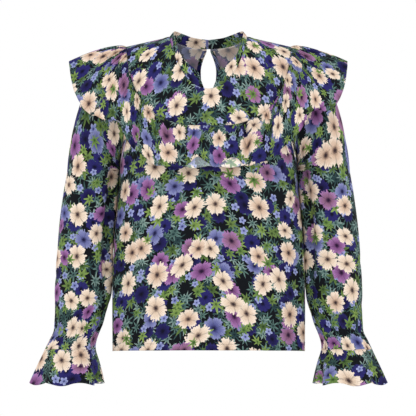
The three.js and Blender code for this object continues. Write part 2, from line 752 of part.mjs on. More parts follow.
// Over the shoulder the sleeve's wall leans with the body's. Under the arm both walls fold back face
// to face, so there it keeps its own direction.
function leftSleeveHead() {
  const { ring: armholePoints, directions } = armholeRing();
  const { overShoulder, underArm, inward, crowding } = sleeveCap;
  const rows = [];
  const first = sleeveSections[0].z;
  for (let j = 0; j < capSteps; j++) {
    const t = (j / capSteps) ** crowding;
    rows.push(
      armholePoints.map((corner, k) => {
        const angle = sleeveAngle(k);
        const low = (1 - Math.cos(angle)) / 2;
        const cap = (name, share) => mix(overShoulder[name], underArm[name], share);
        const away = new THREE.Vector3(cap("outward", low ** 2), 0, -cap("downward", low ** 2)).normalize();
        const start = corner.clone();
        start.x += seamGap;
        const end = sleeveSection(angle, first);
        const out = start.clone().addScaledVector(away, cap("leave", low ** 0.7));
        const straight = cap("straight", low ** 0.7);
        const above = end.clone().add(new THREE.Vector3(-inward * straight, 0, straight));
        return new THREE.CubicBezierCurve3(start, out, above, end).getPoint(t);
      }),
    );
  }
  rows.push(...sleeveRounds("head"));
  const turned = rows.map(turnedRing);
  const own = faceNormals(turned, true)[0];
  const lean = turnedRing(directions).map((direction, k) => {
    const share = clamp((direction.dot(own[k]) - seamLean.none) / (seamLean.full - seamLean.none), 0, 1);
    return own[k].clone().lerp(direction, share).normalize();
  });
  return clothWall(turned, { closed: true, given: [lean] });
}

function leftSleeveTube(length) {
  return clothWall(sleeveRounds(length).map(turnedRing), { closed: true });
}

// Button and loop at the centre back
const bandOutsideY = torsoAt(bandBackGap, backNeckline[0].z, "back").y + seamGap;

function neckButton() {
  const { radius, stemRadius, stemHeight, height } = button;
  const rim = height - stemHeight;
  const profile = [
    [0, 0],
    [stemRadius, 0],
    [stemRadius, stemHeight],
    [radius * 0.9, stemHeight],
    [radius, stemHeight + rim * 0.4],
    [radius * 0.85, stemHeight + rim * 0.8],
    [radius * 0.5, height],
    [0, height],
  ].map(([r, h]) => new THREE.Vector2(r, h));
  return new THREE.LatheGeometry(profile, 20).translate(button.x, bandOutsideY, button.z);
}

// Loop from the left band's end round the button's stem and back.
function neckLoop() {
  const bend = button.stemRadius + seamGap + loop.thickness / 2;
  const y = bandOutsideY + seamGap / 2 + loop.thickness / 2;
  const points = [new THREE.Vector3(loop.endX, y, button.z + bend)];
  for (let i = 0; i <= 6; i++) {
    const angle = Math.PI / 2 + (Math.PI * i) / 6;
    points.push(new THREE.Vector3(button.x + bend * Math.cos(angle), y, button.z + bend * Math.sin(angle)));
  }
  points.push(new THREE.Vector3(loop.endX, y, button.z - bend));
  const round = new THREE.Shape();
  for (let i = 0; i < loop.sides; i++) {
    const angle = (2 * Math.PI * i) / loop.sides;
    const corner = [(loop.thickness / 2) * Math.cos(angle), (loop.thickness / 2) * Math.sin(angle)];
    if (i === 0) round.moveTo(...corner);
    else round.lineTo(...corner);
  }
  const path = new THREE.CatmullRomCurve3(points, false, "centripetal");
  return new THREE.ExtrudeGeometry(round, { steps: loop.steps, extrudePath: path, bevelEnabled: false });
}

const clothMaterial = new THREE.MeshStandardMaterial({ color: 0x3f4050, roughness: 0.85, metalness: 0 });
const buttonMaterial = new THREE.MeshStandardMaterial({ color: 0x15131c, roughness: 0.5, metalness: 0 });

const blouse = new THREE.Group();

function addPiece(name, geometry, material = clothMaterial) {
  const mesh = new THREE.Mesh(geometry, material);
  mesh.name = name;
  blouse.add(mesh);
  return mesh;
}

addPiece("front_yoke", frontYoke());
addPiece("front", frontPanel());
addPiece("back", backPanel());
addPiece("keyhole_facing", keyholeFacing());
addPiece("neck_band_left", neckBand());
addPiece("neck_band_right", mirrorImage(neckBand()));
addPiece("ruffle_front", frontRuffle());
addPiece("ruffle_left_shoulder", shoulderRuffle(1));
addPiece("ruffle_right_shoulder", shoulderRuffle(-1));
addPiece("sleeve_left_head", leftSleeveHead());
addPiece("sleeve_left_upper", leftSleeveTube("upper"));
addPiece("sleeve_left_lower", leftSleeveTube("lower"));
addPiece("flounce_left", leftSleeveTube("flounce"));
addPiece("sleeve_right_head", mirrorImage(leftSleeveHead()));
addPiece("sleeve_right_upper", mirrorImage(leftSleeveTube("upper")));
addPiece("sleeve_right_lower", mirrorImage(leftSleeveTube("lower")));
addPiece("flounce_right", mirrorImage(leftSleeveTube("flounce")));
addPiece("neck_button", neckButton(), buttonMaterial);
addPiece("neck_loop", neckLoop(), buttonMaterial);

export default blouse;
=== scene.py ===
import math

import bmesh
import bpy
import numpy as np
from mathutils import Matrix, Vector


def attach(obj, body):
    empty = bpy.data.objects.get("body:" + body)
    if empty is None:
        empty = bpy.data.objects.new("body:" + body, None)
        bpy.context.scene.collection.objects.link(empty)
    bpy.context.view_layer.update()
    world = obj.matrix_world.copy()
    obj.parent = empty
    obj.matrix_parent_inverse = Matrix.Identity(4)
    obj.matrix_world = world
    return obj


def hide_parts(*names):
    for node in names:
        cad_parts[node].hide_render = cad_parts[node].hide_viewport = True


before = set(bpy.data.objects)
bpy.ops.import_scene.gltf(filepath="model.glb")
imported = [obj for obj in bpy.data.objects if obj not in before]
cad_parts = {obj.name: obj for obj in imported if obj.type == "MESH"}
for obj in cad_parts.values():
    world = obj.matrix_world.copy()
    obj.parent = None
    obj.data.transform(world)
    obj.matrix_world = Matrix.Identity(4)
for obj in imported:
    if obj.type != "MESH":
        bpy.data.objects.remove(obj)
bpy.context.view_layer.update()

# A blouse of printed crepe with a ruffled yoke, filled out as worn. Sizes are in millimetres until a
# mesh is made. +Z is up, the front faces -Y, and the wearer's left side is at +X.
print("frame loaded")


# Tables and smooth values

# Smooth value of one named column of a table, at places in its key column.
def along(rows, key, name, at):
    keys = np.array([row[key] for row in rows], float)
    values = np.array([row[name] for row in rows], float)
    at = np.asarray(at, float)
    if keys[-1] < keys[0]:
        keys, at = -keys, -at
    before = np.maximum(np.arange(len(keys)) - 1, 0)
    after = np.minimum(np.arange(len(keys)) + 1, len(keys) - 1)
    slopes = (values[after] - values[before]) / (keys[after] - keys[before])
    i = np.clip(np.searchsorted(keys, at) - 1, 0, len(keys) - 2)
    span = keys[i + 1] - keys[i]
    t = np.clip((at - keys[i]) / span, 0, 1)
    bend = t * t * (3 - 2 * t)
    ends = slopes[i] * t * (1 - t) ** 2 + slopes[i + 1] * t * t * (t - 1)
    return values[i] + (values[i + 1] - values[i]) * bend + span * ends


# The same, by a table's row number.
def byRow(rows, name, row):
    numbered = [{"number": i, "value": entry[name]} for i, entry in enumerate(rows)]
    return along(numbered, "number", "value", row)


def table(names, *rows):
    return [dict(zip(names.split(), row)) for row in rows]


def smooth(t):
    t = np.clip(t, 0, 1)
    return t * t * (3 - 2 * t)


def mix(a, b, t):
    return a + (b - a) * t


def unit(v):
    return v / np.maximum(np.linalg.norm(v, axis=-1, keepdims=True), 1e-9)


# Distances between neighbouring points, and a running total that starts at 0.
def spans(points, axis=0):
    return np.linalg.norm(np.diff(points, axis=axis), axis=-1)


def running(steps, axis=0):
    return np.insert(np.cumsum(steps, axis=axis), 0, 0, axis=axis)


# The points at places along a line, whose own points have the given keys.
def pointAt(at, keys, points):
    return np.stack([np.interp(at, keys, points[:, k]) for k in range(3)], -1)


def bell(t):
    return np.exp(-t ** 2)


# A wave at so many radians for each unit, whose pace wanders: each wander has a depth, pace and turn.
def wandering(at, pace, wanders):
    return np.sin(pace * at + sum(depth * np.sin(at * slow + turn) for depth, slow, turn in wanders))


# Points between rows of points, on smooth curves through them.
def refineFirst(points, steps, closed=False):
    if closed:
        padded = np.concatenate([points[-1:], points, points[:2]])
    else:
        padded = np.concatenate([2 * points[:1] - points[1:2], points, 2 * points[-1:] - points[-2:-1]])
    count = len(points) if closed else len(points) - 1
    out = []
    for i in range(count):
        p0, p1, p2, p3 = padded[i:i + 4]
        for k in range(steps):
            t = k / steps
            out.append(0.5 * (2 * p1 + (p2 - p0) * t + (2 * p0 - 5 * p1 + 4 * p2 - p3) * t * t
                              + (3 * p1 - p0 - 3 * p2 + p3) * t ** 3))
    if not closed:
        out.append(points[-1])
    return np.array(out)


def refine(rows, down, across):
    fine = refineFirst(rows, down)
    return refineFirst(fine.swapaxes(0, 1), across).swapaxes(0, 1)


# Torso: the same surface as the solids have
torso = {
    "neckX": 75, "tipX": 172, "neckZ": 13, "slope": 0.227, "shoulderY": 5, "sideY": -5,
    "squareness": 2.2, "underarmZ": -222, "hemZ": -600, "hemRise": 7,
    "turn": {"front": (95, 135), "back": (80, 125)},
    "armholeSteps": 8, "lowerSteps": 10, "blendLength": 150, "underarmRounding": 18,
    "frontSeamShare": 0.93, "foldFreeShare": 0.08,
}
torsoSections = table(
    "z halfWidth front back",
    (40, 180, 46, 68), (0, 180, 52, 78), (-60, 180, 66, 98), (-90, 179.5, 78, 106),
    (-120, 179, 92, 112), (-180, 176, 116, 117), (-235, 172, 128, 114), (-300, 176, 127, 106),
    (-360, 182, 123, 102), (-420, 185, 120, 102), (-500, 186.5, 118, 106), (-600, 186, 117, 111),
)
armhole = table(
    "z x", (-9, 172), (-40, 170), (-80, 166), (-120, 163), (-160, 162), (-195, 166), (-222, 172),
)
yokeLines = table(
    "neckX neckZ seamX seamZ",
    (0, -91, 0, -163), (22, -86, 55, -160), (42, -69, 104, -139), (57, -46, 133, -107),
    (67, -21, 150, -68), (73, -1, 158, -31), (75, 13, 160, -6.3),
)
backNeckline = table("x z", (0, -8), (25, -7), (50, -2), (66, 6), (75, 13))
bodyFolds = table(
    "side at depth spread top full",
    ("front", -0.82, 5, 0.1, -250, -460), ("front", -0.36, 3, 0.12, -270, -560),
    ("front", 0.08, 3, 0.13, -260, -580), ("front", 0.47, 4, 0.11, -270, -560),
    ("front", 0.84, 5, 0.1, -250, -460), ("back", -0.7, 5, 0.13, -200, -520),
    ("back", -0.22, 4, 0.13, -240, -560), ("back", 0.28, 4, 0.13, -230, -560),
    ("back", 0.72, 5, 0.13, -200, -520),
)
yokeSteps = 15
yokePlaces = np.arange(-yokeSteps, yokeSteps + 1) / yokeSteps


def shoulderZ(x):
    return torso["neckZ"] - torso["slope"] * (np.abs(x) - torso["neckX"])


def halfWidthAt(z):
    return along(torsoSections, "z", "halfWidth", z)


# Cloth length from the shoulder line down to height z, and back again.
def lengthAt(x, z, side):
    height, length = torso["turn"][side]
    drop = np.maximum(shoulderZ(x) - z, 0)
    onTurn = length * np.arccos(1 - np.minimum(drop / height, 1)) / (math.pi / 2)
    return np.where(drop >= height, length + drop - height, onTurn)


def heightAt(x, clothLength, side):
    height, length = torso["turn"][side]
    onTurn = 1 - np.cos(math.pi / 2 * np.minimum(clothLength / length, 1))
    return shoulderZ(x) - height * onTurn - np.maximum(clothLength - length, 0)


def torsoPoint(x, clothLength, side):
    x, clothLength = np.broadcast_arrays(np.asarray(x, float), np.asarray(clothLength, float))
    z = heightAt(x, clothLength, side)
    share = np.minimum(np.abs(x) / halfWidthAt(z), 1)
    turned = np.sin(math.pi / 2 * np.minimum(clothLength / torso["turn"][side][1], 1))
    depth = along(torsoSections, "z", side, z) * turned
    out = depth * (1 - share ** torso["squareness"]) ** (1 / torso["squareness"])
    y = mix(torso["shoulderY"], torso["sideY"], turned) + (-out if side == "front" else out)
    return np.stack([x, y, z], -1)


def torsoAt(x, z, side):
    return torsoPoint(x, lengthAt(x, z, side), side)


def torsoNormal(x, clothLength, side):
    step = 1
    middle = np.maximum(clothLength, step)
    across = torsoPoint(x + step, middle, side) - torsoPoint(x - step, middle, side)
    down = torsoPoint(x, middle + step, side) - torsoPoint(x, middle - step, side)
    normal = np.cross(down, across) if side == "front" else np.cross(across, down)
    z = heightAt(x, clothLength, side)
    onSeam = (clothLength <= step) | (halfWidthAt(z) - np.abs(x) < step / 10)
    normal[..., 1] = np.where(onSeam, 0, normal[..., 1])
    return unit(normal)


def torsoNormalAt(point, side):
    return torsoNormal(point[..., 0], lengthAt(point[..., 0], point[..., 2], side), side)


def ringAngle(z):
    share = along(armhole, "z", "x", np.minimum(z, armhole[0]["z"])) / halfWidthAt(z)
    opened = np.arcsin(np.minimum(share, 1))
    near = smooth((z - torso["underarmZ"]) / torso["underarmRounding"])
    return np.where(z <= torso["underarmZ"], math.pi / 2, mix(math.pi / 2, opened, near))


def foldDepth(side, share, z):
    total = np.zeros_like(z)
    for fold in bodyFolds:
        if fold["side"] == side:
            grow = smooth((fold["top"] - z) / (fold["top"] - fold["full"]))
            total += fold["depth"] * grow * bell((share - fold["at"]) / fold["spread"])
    return total


# Down one column of a panel, from its top point: share is its place from the centre to the side.
def panelColumn(startX, startLength, share, side):
    steps, lower = torso["armholeSteps"], torso["lowerSteps"]
    top, hem = armhole[0]["z"], torso["hemZ"] + torso["hemRise"] * (1 - share * share)
    armShare = (top - torso["underarmZ"]) / (top - torso["hemZ"])
    down = np.concatenate([armShare * np.arange(steps + 1) / steps,
                           mix(armShare, 1, np.arange(1, lower + 1) / lower)])
    onEdge = abs(share) == 1
    startZ = heightAt(startX, startLength, side)
    x = np.full(len(down), float(startX))
    for _ in range(4):
        if onEdge:
            clothLength = lengthAt(x, mix(top, hem, down), side)
        else:
            clothLength = mix(startLength, lengthAt(x, hem, side), down)
        z = heightAt(x, clothLength, side)
        ringX = halfWidthAt(z) * np.sin(share * ringAngle(z))
        x = ringX if onEdge else mix(startX, ringX, smooth((startZ - z) / torso["blendLength"]))
    point = torsoPoint(x, clothLength, side)
    free = smooth((1 - abs(share)) / torso["foldFreeShare"])
    relief = free * foldDepth(side, share, point[:, 2])
    return point + torsoNormal(x, clothLength, side) * relief[:, None]


def yokeCurve(places, line):
    row = np.abs(places) * (len(yokeLines) - 1)
    x = byRow(yokeLines, line + "X", row)
    z = np.minimum(byRow(yokeLines, line + "Z", row), shoulderZ(x))
    return np.sign(places) * x, lengthAt(x, z, "front")


print("form tables ready")


# Creases: soft troughs and ridges, listed one by one. at and up are the middle of one, across and along
# the cloth in millimetres, turn its lean in degrees, and a negative depth makes a ridge.
def crease(flat, rows):
    total = np.zeros(flat.shape[:2])
    for row in rows:
        lean = math.radians(row["turn"])
        across, up = flat[..., 0] - row["at"], flat[..., 1] - row["up"]
        beside = across * math.cos(lean) + up * math.sin(lean)
        lengthwise = -across * math.sin(lean) + up * math.cos(lean)
        lengthwise = lengthwise / (row["length"] / 2)
        beside = beside + row["bow"] * (lengthwise ** 2 - 0.3)
        fade = np.clip(1 - lengthwise ** 2, 0, 1) ** 1.5
        total -= row["depth"] * fade * bell(beside / row["width"])
    return total


creaseNames = "at up length width depth turn bow"
frontCreases = table(
    creaseNames,
    (-150, -330, 210, 9, 1.8, -7, 6), (-128, -395, 190, 12, -1.6, -4, 8), (-96, -320, 240, 10, 1.5, 4, -5),
    (-60, -430, 260, 13, 1.7, 2, 6), (-22, -350, 180, 9, -1.3, -6, 4), (14, -470, 230, 12, 1.6, 5, -6),
    (52, -340, 230, 11, 1.6, 3, 7), (88, -440, 250, 12, -1.7, -3, -6), (121, -345, 200, 9, 1.7, 6, 5),
    (152, -420, 230, 11, 1.8, 4, -7), (176, -290, 120, 7, 1.6, 24, 5), (-178, -300, 130, 8, 1.7, -22, -5),
    (-70, -560, 120, 12, 1.2, 9, 3), (70, -565, 110, 11, 1.3, -7, -3), (0, -575, 90, 9, -1.0, 3, 2),
    (-190, -470, 260, 9, 1.3, -3, 4), (192, -500, 230, 9, 1.4, 3, -4),
)
backCreases = table(
    creaseNames,
    (-150, -260, 190, 10, 1.9, 18, 7), (150, -270, 200, 10, 1.9, -20, -7), (-112, -370, 280, 13, 1.7, 4, -8),
    (-66, -300, 240, 12, -1.4, -5, 6), (-24, -430, 300, 13, 1.7, 2, 8), (24, -330, 220, 11, 1.3, 5, -5),
    (68, -450, 290, 13, 1.7, -3, 7), (108, -350, 240, 11, -1.5, -6, -6), (146, -470, 230, 11, 1.7, 4, 6),
    (-146, -480, 240, 12, 1.8, -4, -6), (-40, -150, 130, 9, 1.0, 36, 6), (46, -158, 140, 9, 1.1, -38, -6),
    (-104, -140, 120, 8, 1.1, 24, 5), (108, -150, 110, 8, 1.0, -27, -4), (0, -560, 110, 11, 1.2, 6, 3),
)
sleeveCreases = table(
    creaseNames,
    (20, -150, 120, 8, 2.2, 30, 6), (58, -230, 130, 9, 2.0, -24, -5), (104, -190, 110, 8, 1.8, 18, 5),
    (-34, -260, 140, 9, 2.0, 24, 5), (150, -300, 150, 10, 2.2, -30, 7), (76, -330, 120, 9, 2.0, 58, 8),
    (118, -372, 130, 9, 2.3, 68, -7), (36, -395, 140, 9, 2.1, -62, 6), (-18, -350, 120, 8, 1.8, -40, -5),
    (92, -445, 130, 8, 2.0, 24, 5), (24, -470, 120, 7, 1.9, -14, 4), (140, -480, 110, 7, 1.9, 12, -4),
    (170, -410, 150, 9, 2.0, -20, 6), (-62, -430, 130, 8, 2.0, 18, -5), (-90, -330, 160, 10, 2.0, 10, 6),
    (-120, -220, 130, 9, 1.9, -12, 5), (-150, -400, 140, 9, 2.0, 30, -6), (60, -500, 80, 5, 1.5, 8, 3),
    (110, -505, 80, 5, 1.5, -6, -3), (-20, -505, 80, 5, 1.5, 5, 2), (-100, -500, 80, 5, 1.5, -7, 2),
)
yokeCreases = table(
    creaseNames,
    (-96, -90, 90, 8, 0.9, 30, 5), (98, -96, 80, 8, 0.9, -32, -5), (-40, -150, 70, 7, 0.7, 12, 3),
    (46, -146, 80, 7, 0.7, -16, -3), (4, -160, 60, 7, 0.6, 3, 2),
)


# Meshes

def gridNormals(rows, closed=False):
    down = np.gradient(rows, axis=0)
    if closed:
        across = (np.roll(rows, -1, 1) - np.roll(rows, 1, 1)) / 2
    else:
        across = np.gradient(rows, axis=1)
    return unit(np.cross(down, across))


# Where each point lies on the flat cloth: how far across, and how far down.
def layFlat(rows, even=False):
    steps = spans(rows, 1)
    if even:
        steps = np.broadcast_to(steps.mean(0), steps.shape)
    return np.stack([running(steps, 1), rows[0, 0, 2] - running(spans(rows))], -1)


# The same for a panel of the torso, from its middle column and down from the shoulder line.
def layTorsoFlat(rows, side):
    x, z = rows[..., 0], rows[..., 2]
    across = running(spans(rows[..., :2], 1), 1)
    middle = int(np.argmin(np.abs(x).sum(axis=0)))
    run = np.abs(across - across[:, [middle]]) + np.abs(x[:, [middle]])
    return np.stack([np.sign(x) * run, -lengthAt(x, z, side)], -1)


crepeThickness = 0.6  # with its turned edges; the threads alone are half of this


# A sheet of cloth from rows of points seen from outside, going down and to the right. Its UVs are
# metres on the flat cloth, moved on by the piece's own place on the print.
def clothMesh(name, parts, printAt, thickness=crepeThickness, closed=False, inner=1):
    mesh = bpy.data.meshes.new(name)
    bm = bmesh.new()
    layer = bm.loops.layers.uv.new("cloth")
    for rows, flat in parts:
        vertices = [bm.verts.new(point) for point in rows.reshape(-1, 3) * 0.001]
        count = rows.shape[1]
        place = flat * 0.001 + np.array(printAt)
        columns = count if closed else count - 1
        for j in range(rows.shape[0] - 1):
            for i in range(columns):
                k = (i + 1) % count
                corners = [(j, i), (j + 1, i), (j + 1, k), (j, k)]
                face = bm.faces.new([vertices[a * count + b] for a, b in corners])
                face.smooth = True
                for loop, (a, b) in zip(face.loops, corners):
                    closing = closed and k == 0 and b == 0
                    loop[layer].uv = 2 * place[a, -1] - place[a, -2] if closing else place[a, b]
    if len(parts) > 1:
        bmesh.ops.remove_doubles(bm, verts=bm.verts, dist=2e-6)
    bm.to_mesh(mesh)
    bm.free()
    piece = bpy.data.objects.new(name, mesh)
    bpy.context.collection.objects.link(piece)
    piece.data.materials.append(printedCrepe)
    piece.data.materials.append(crepeWrongSide)
    shell = piece.modifiers.new("thickness", "SOLIDIFY")
    shell.thickness = thickness * 0.001
    shell.offset = -1
    shell.material_offset = inner
    shell.use_rim = True
    return piece


def mirrored(rows):
    turned = rows[:, ::-1].copy()
    turned[..., 0] *= -1
    return turned


# Materials

def srgb(hexColour):
    parts = [int(hexColour[i:i + 2], 16) / 255 for i in (1, 3, 5)]
    return [p / 12.92 if p <= 0.04045 else ((p + 0.055) / 1.055) ** 2.4 for p in parts] + [1]


# Adds one node. settings are its properties, inputs its sockets by name or number, each a value or
# another node's output.
def addNode(tree, kind, inputs=None, **settings):
    node = tree.nodes.new("ShaderNode" + kind)
    for key, value in settings.items():
        setattr(node, key, value)
    for key, value in (inputs or {}).items():
        if isinstance(value, bpy.types.NodeSocket):
            tree.links.new(value, node.inputs[key])
        else:
            node.inputs[key].default_value = value
    return node


# Adds a chain of maths nodes from rows of (name, operation, inputs...). An input is a number or the
# name of an earlier result.
def addChain(tree, results, rows):
    for name, operation, *inputs in rows:
        given = {i: results[v] if isinstance(v, str) else v for i, v in enumerate(inputs)}
        results[name] = addNode(tree, "Math", given, operation=operation).outputs[0]


def mixColours(tree, share, first, second):
    return addNode(tree, "Mix", {0: share, 6: first, 7: second}, data_type="RGBA").outputs[2]


def newMaterial(name):
    material = bpy.data.materials.new(name)
    material.use_nodes = True
    material.node_tree.nodes.clear()
    return material, material.node_tree


def addSurface(tree, inputs):
    shader = addNode(tree, "BsdfPrincipled", inputs)
    addNode(tree, "OutputMaterial", {"Surface": shader.outputs[0]})


motifInputs = ("Spacing", "Radius", "Petals", "Notch", "Point", "Frill", "Teeth", "Tilt", "Lean",
               "Scatter", "Shift")
motifOutputs = {"Mask": "mask", "Out": "out", "Between": "between", "Angle": "angle", "Pick": "b"}
motifShape = {"wobble": 230.0, "toothDepth": 0.16, "sizeSpread": 0.28, "smallest": 0.8,
              "edgeSharpness": 16.0}


# One kind of flower or leaf, printed at scattered places. Its outputs are where it is, how far a
# point is from its middle, how near to the gap between petals, its angle and a random number.
def makeMotifGroup():
    tree = bpy.data.node_groups.new("scatteredMotif", "ShaderNodeTree")
    tree.interface.new_socket("Cloth", in_out="INPUT", socket_type="NodeSocketVector")
    for name in motifInputs:
        tree.interface.new_socket(name, in_out="INPUT", socket_type="NodeSocketFloat")
    for name in motifOutputs:
        tree.interface.new_socket(name, in_out="OUTPUT", socket_type="NodeSocketFloat")
    given = tree.nodes.new("NodeGroupInput")
    results = {name: given.outputs[name] for name in motifInputs}
    shift = addNode(tree, "CombineXYZ", {0: results["Shift"], 1: results["Shift"]}).outputs[0]
    place = addNode(tree, "VectorMath", {0: given.outputs["Cloth"], 1: shift}, operation="ADD").outputs[0]
    addChain(tree, results, [("density", "DIVIDE", 1.0, "Spacing")])
    scatter = addNode(tree, "TexVoronoi", {
        "Vector": place, "Scale": results["density"], "Randomness": results["Scatter"],
    }, voronoi_dimensions="2D", feature="F1")
    chance = addNode(tree, "SeparateColor", {0: scatter.outputs["Color"]})
    wobble = addNode(tree, "TexNoise", {"Vector": place, "Scale": motifShape["wobble"], "Detail": 2.0},
                     noise_dimensions="2D")
    results |= {"r": chance.outputs[0], "g": chance.outputs[1], "b": chance.outputs[2],
                "wobble": wobble.outputs[0]}
    away = addNode(tree, "VectorMath", {0: place, 1: scatter.outputs["Position"]}, operation="SUBTRACT")
    addChain(tree, results, [
        ("spin", "MULTIPLY", "r", 2 * math.pi),
        ("stretch", "MULTIPLY_ADD", "b", "Tilt", 1.0),
    ])
    turned = addNode(tree, "VectorRotate", {"Vector": away.outputs[0], "Angle": results["spin"]},
                     rotation_type="Z_AXIS")
    parts = addNode(tree, "SeparateXYZ", {0: turned.outputs[0]})
    results |= {"x": parts.outputs[0], "narrow": parts.outputs[1]}
    addChain(tree, results, [
        ("y", "MULTIPLY", "narrow", "stretch"),
        ("xx", "MULTIPLY", "x", "x"),
        ("squares", "MULTIPLY_ADD", "y", "y", "xx"),
        ("distance", "SQRT", "squares"),
        ("bearing", "ARCTAN2", "y", "x"),
        ("roll", "MULTIPLY", "g", 2 * math.pi),
        ("angle", "ADD", "bearing", "roll"),
        ("turns", "DIVIDE", "angle", 2 * math.pi),
        ("petal", "MULTIPLY", "turns", "Petals"),
        ("part", "FRACT", "petal"),
        ("offMiddle", "SUBTRACT", "part", 0.5),
        ("half", "ABSOLUTE", "offMiddle"),
        ("between", "MULTIPLY", "half", 2.0),
        ("gap", "POWER", "between", "Point"),
        ("cut", "MULTIPLY", "gap", "Notch"),
        ("toothTurn", "MULTIPLY", "petal", "Teeth"),
        ("toothPhase", "MULTIPLY", "toothTurn", 2 * math.pi),
        ("tooth", "COSINE", "toothPhase"),
        ("ragged", "MULTIPLY_ADD", "wobble", 1.6, -0.8),
        ("uneven", "MULTIPLY_ADD", "tooth", motifShape["toothDepth"], "ragged"),
        ("edge", "SUBTRACT", 1.0, "cut"),
        ("facing", "COSINE", "angle"),
        ("short", "MULTIPLY_ADD", "facing", 0.5, 0.5),
        ("leaning", "MULTIPLY", "short", "Lean"),
        ("kept", "SUBTRACT", 1.0, "leaning"),
        ("leant", "MULTIPLY", "edge", "kept"),
        ("frilled", "MULTIPLY_ADD", "uneven", "Frill", "leant"),
        ("sizeShare", "MULTIPLY_ADD", "g", motifShape["sizeSpread"], motifShape["smallest"]),
        ("reach", "MULTIPLY", "Radius", "sizeShare"),
        ("far", "DIVIDE", "distance", "reach"),
        ("inside", "SUBTRACT", "frilled", "far"),
        ("mask", "MULTIPLY", "inside", motifShape["edgeSharpness"]),
        ("out", "DIVIDE", "far", "frilled"),
    ])
    done = tree.nodes.new("NodeGroupOutput")
    for socket, name in motifOutputs.items():
        tree.links.new(results[name], done.inputs[socket])
    return tree


# The print, drawn from the ground up. Spacing and radius are millimetres on the cloth; notch is how
# far the gaps between petals cut in, and teeth how many times a petal's edge is nicked. Each kind has
# colours for its rim, body, heart and veins, and its other colour comes up on some of its flowers.
motifs = table(
    "spacing radius petals notch point frill teeth tilt lean scatter shift otherShare veins "
    "rim body heart vein other",
    (35, 27, 9, 0.84, 0.62, 0.2, 2, 0.5, 0.3, 1, 0, 0.5, 0.5,
     "#435f5d", "#38534f", "#142227", "#1a2d30", "#263e44"),
    (28.5, 18, 7, 0.8, 0.7, 0.2, 2, 0.6, 0.3, 1, 0.31, 0.5, 0.5,
     "#73938b", "#55766e", "#14242a", "#22393b", "#46635f"),
    (39, 18, 7, 0.8, 0.7, 0.2, 2, 0.6, 0.4, 1, 5.71, 0.5, 0.6,
     "#a8bdb6", "#7f9c94", "#1a2f33", "#2f4a4a", "#5a7b76"),
    (43, 21, 7, 0.68, 0.95, 0.16, 2, 0.3, 0.45, 0.95, 0.73, 0.4, 0.6,
     "#6a8344", "#728a4c", "#26381d", "#324a24", "#465f34"),
    (53, 17.5, 9, 0.12, 2, 0.35, 3, 0.15, 0, 0.9, 1.37, 0.4, 0.45,
     "#2b2769", "#1c1948", "#0a0920", "#0e0c2b", "#2b296c"),
    (42, 9, 5, 0.5, 1.5, 0.2, 1, 0.1, 0, 1, 2.13, 0.4, 0.3,
     "#abb3dc", "#8d95c9", "#232758", "#545d9c", "#7079b2"),
    (106, 20.5, 5, 0.3, 6, 0.32, 5, 0.3, 0, 0.95, 3.57, 0.5, 0.6,
     "#9398c6", "#6d71a6", "#161438", "#32336f", "#565a94"),
    (60, 18, 7, 0.68, 0.95, 0.16, 2, 0.3, 0.45, 1, 2.91, 0.5, 0.6,
     "#8aa357", "#86a055", "#2f4a22", "#415c2b", "#628344"),
    (88, 20.5, 5, 0.3, 6, 0.32, 5, 0.3, 0, 0.95, 4.19, 0.45, 0.6,
     "#b07fb8", "#875489", "#210f2c", "#4c2151", "#93697f"),
    (67, 23.4, 5, 0.34, 7, 0.34, 5, 0.35, 0, 0.8, 5.03, 0.35, 0.55,
     "#fbecdc", "#ead3ba", "#2a2028", "#a37c6b", "#dcbda3"),
    (92, 17, 7, 0.66, 0.95, 0.16, 2, 0.3, 0.45, 1, 7.37, 0.5, 0.6,
     "#8aa357", "#7c9550", "#2f4a22", "#415c2b", "#5c7d42"),
)
motifInk = {
    "ground": "#0b0f15", "heartReach": 0.12, "heartFade": 0.2, "rays": 31.0, "rayBend": 4.0, "rayDepth": 1.6,
    "gapSharpness": 9.0, "gapDepth": 0.6, "rimReach": 2.2, "driftScale": 22.0, "drift": 0.004,
}


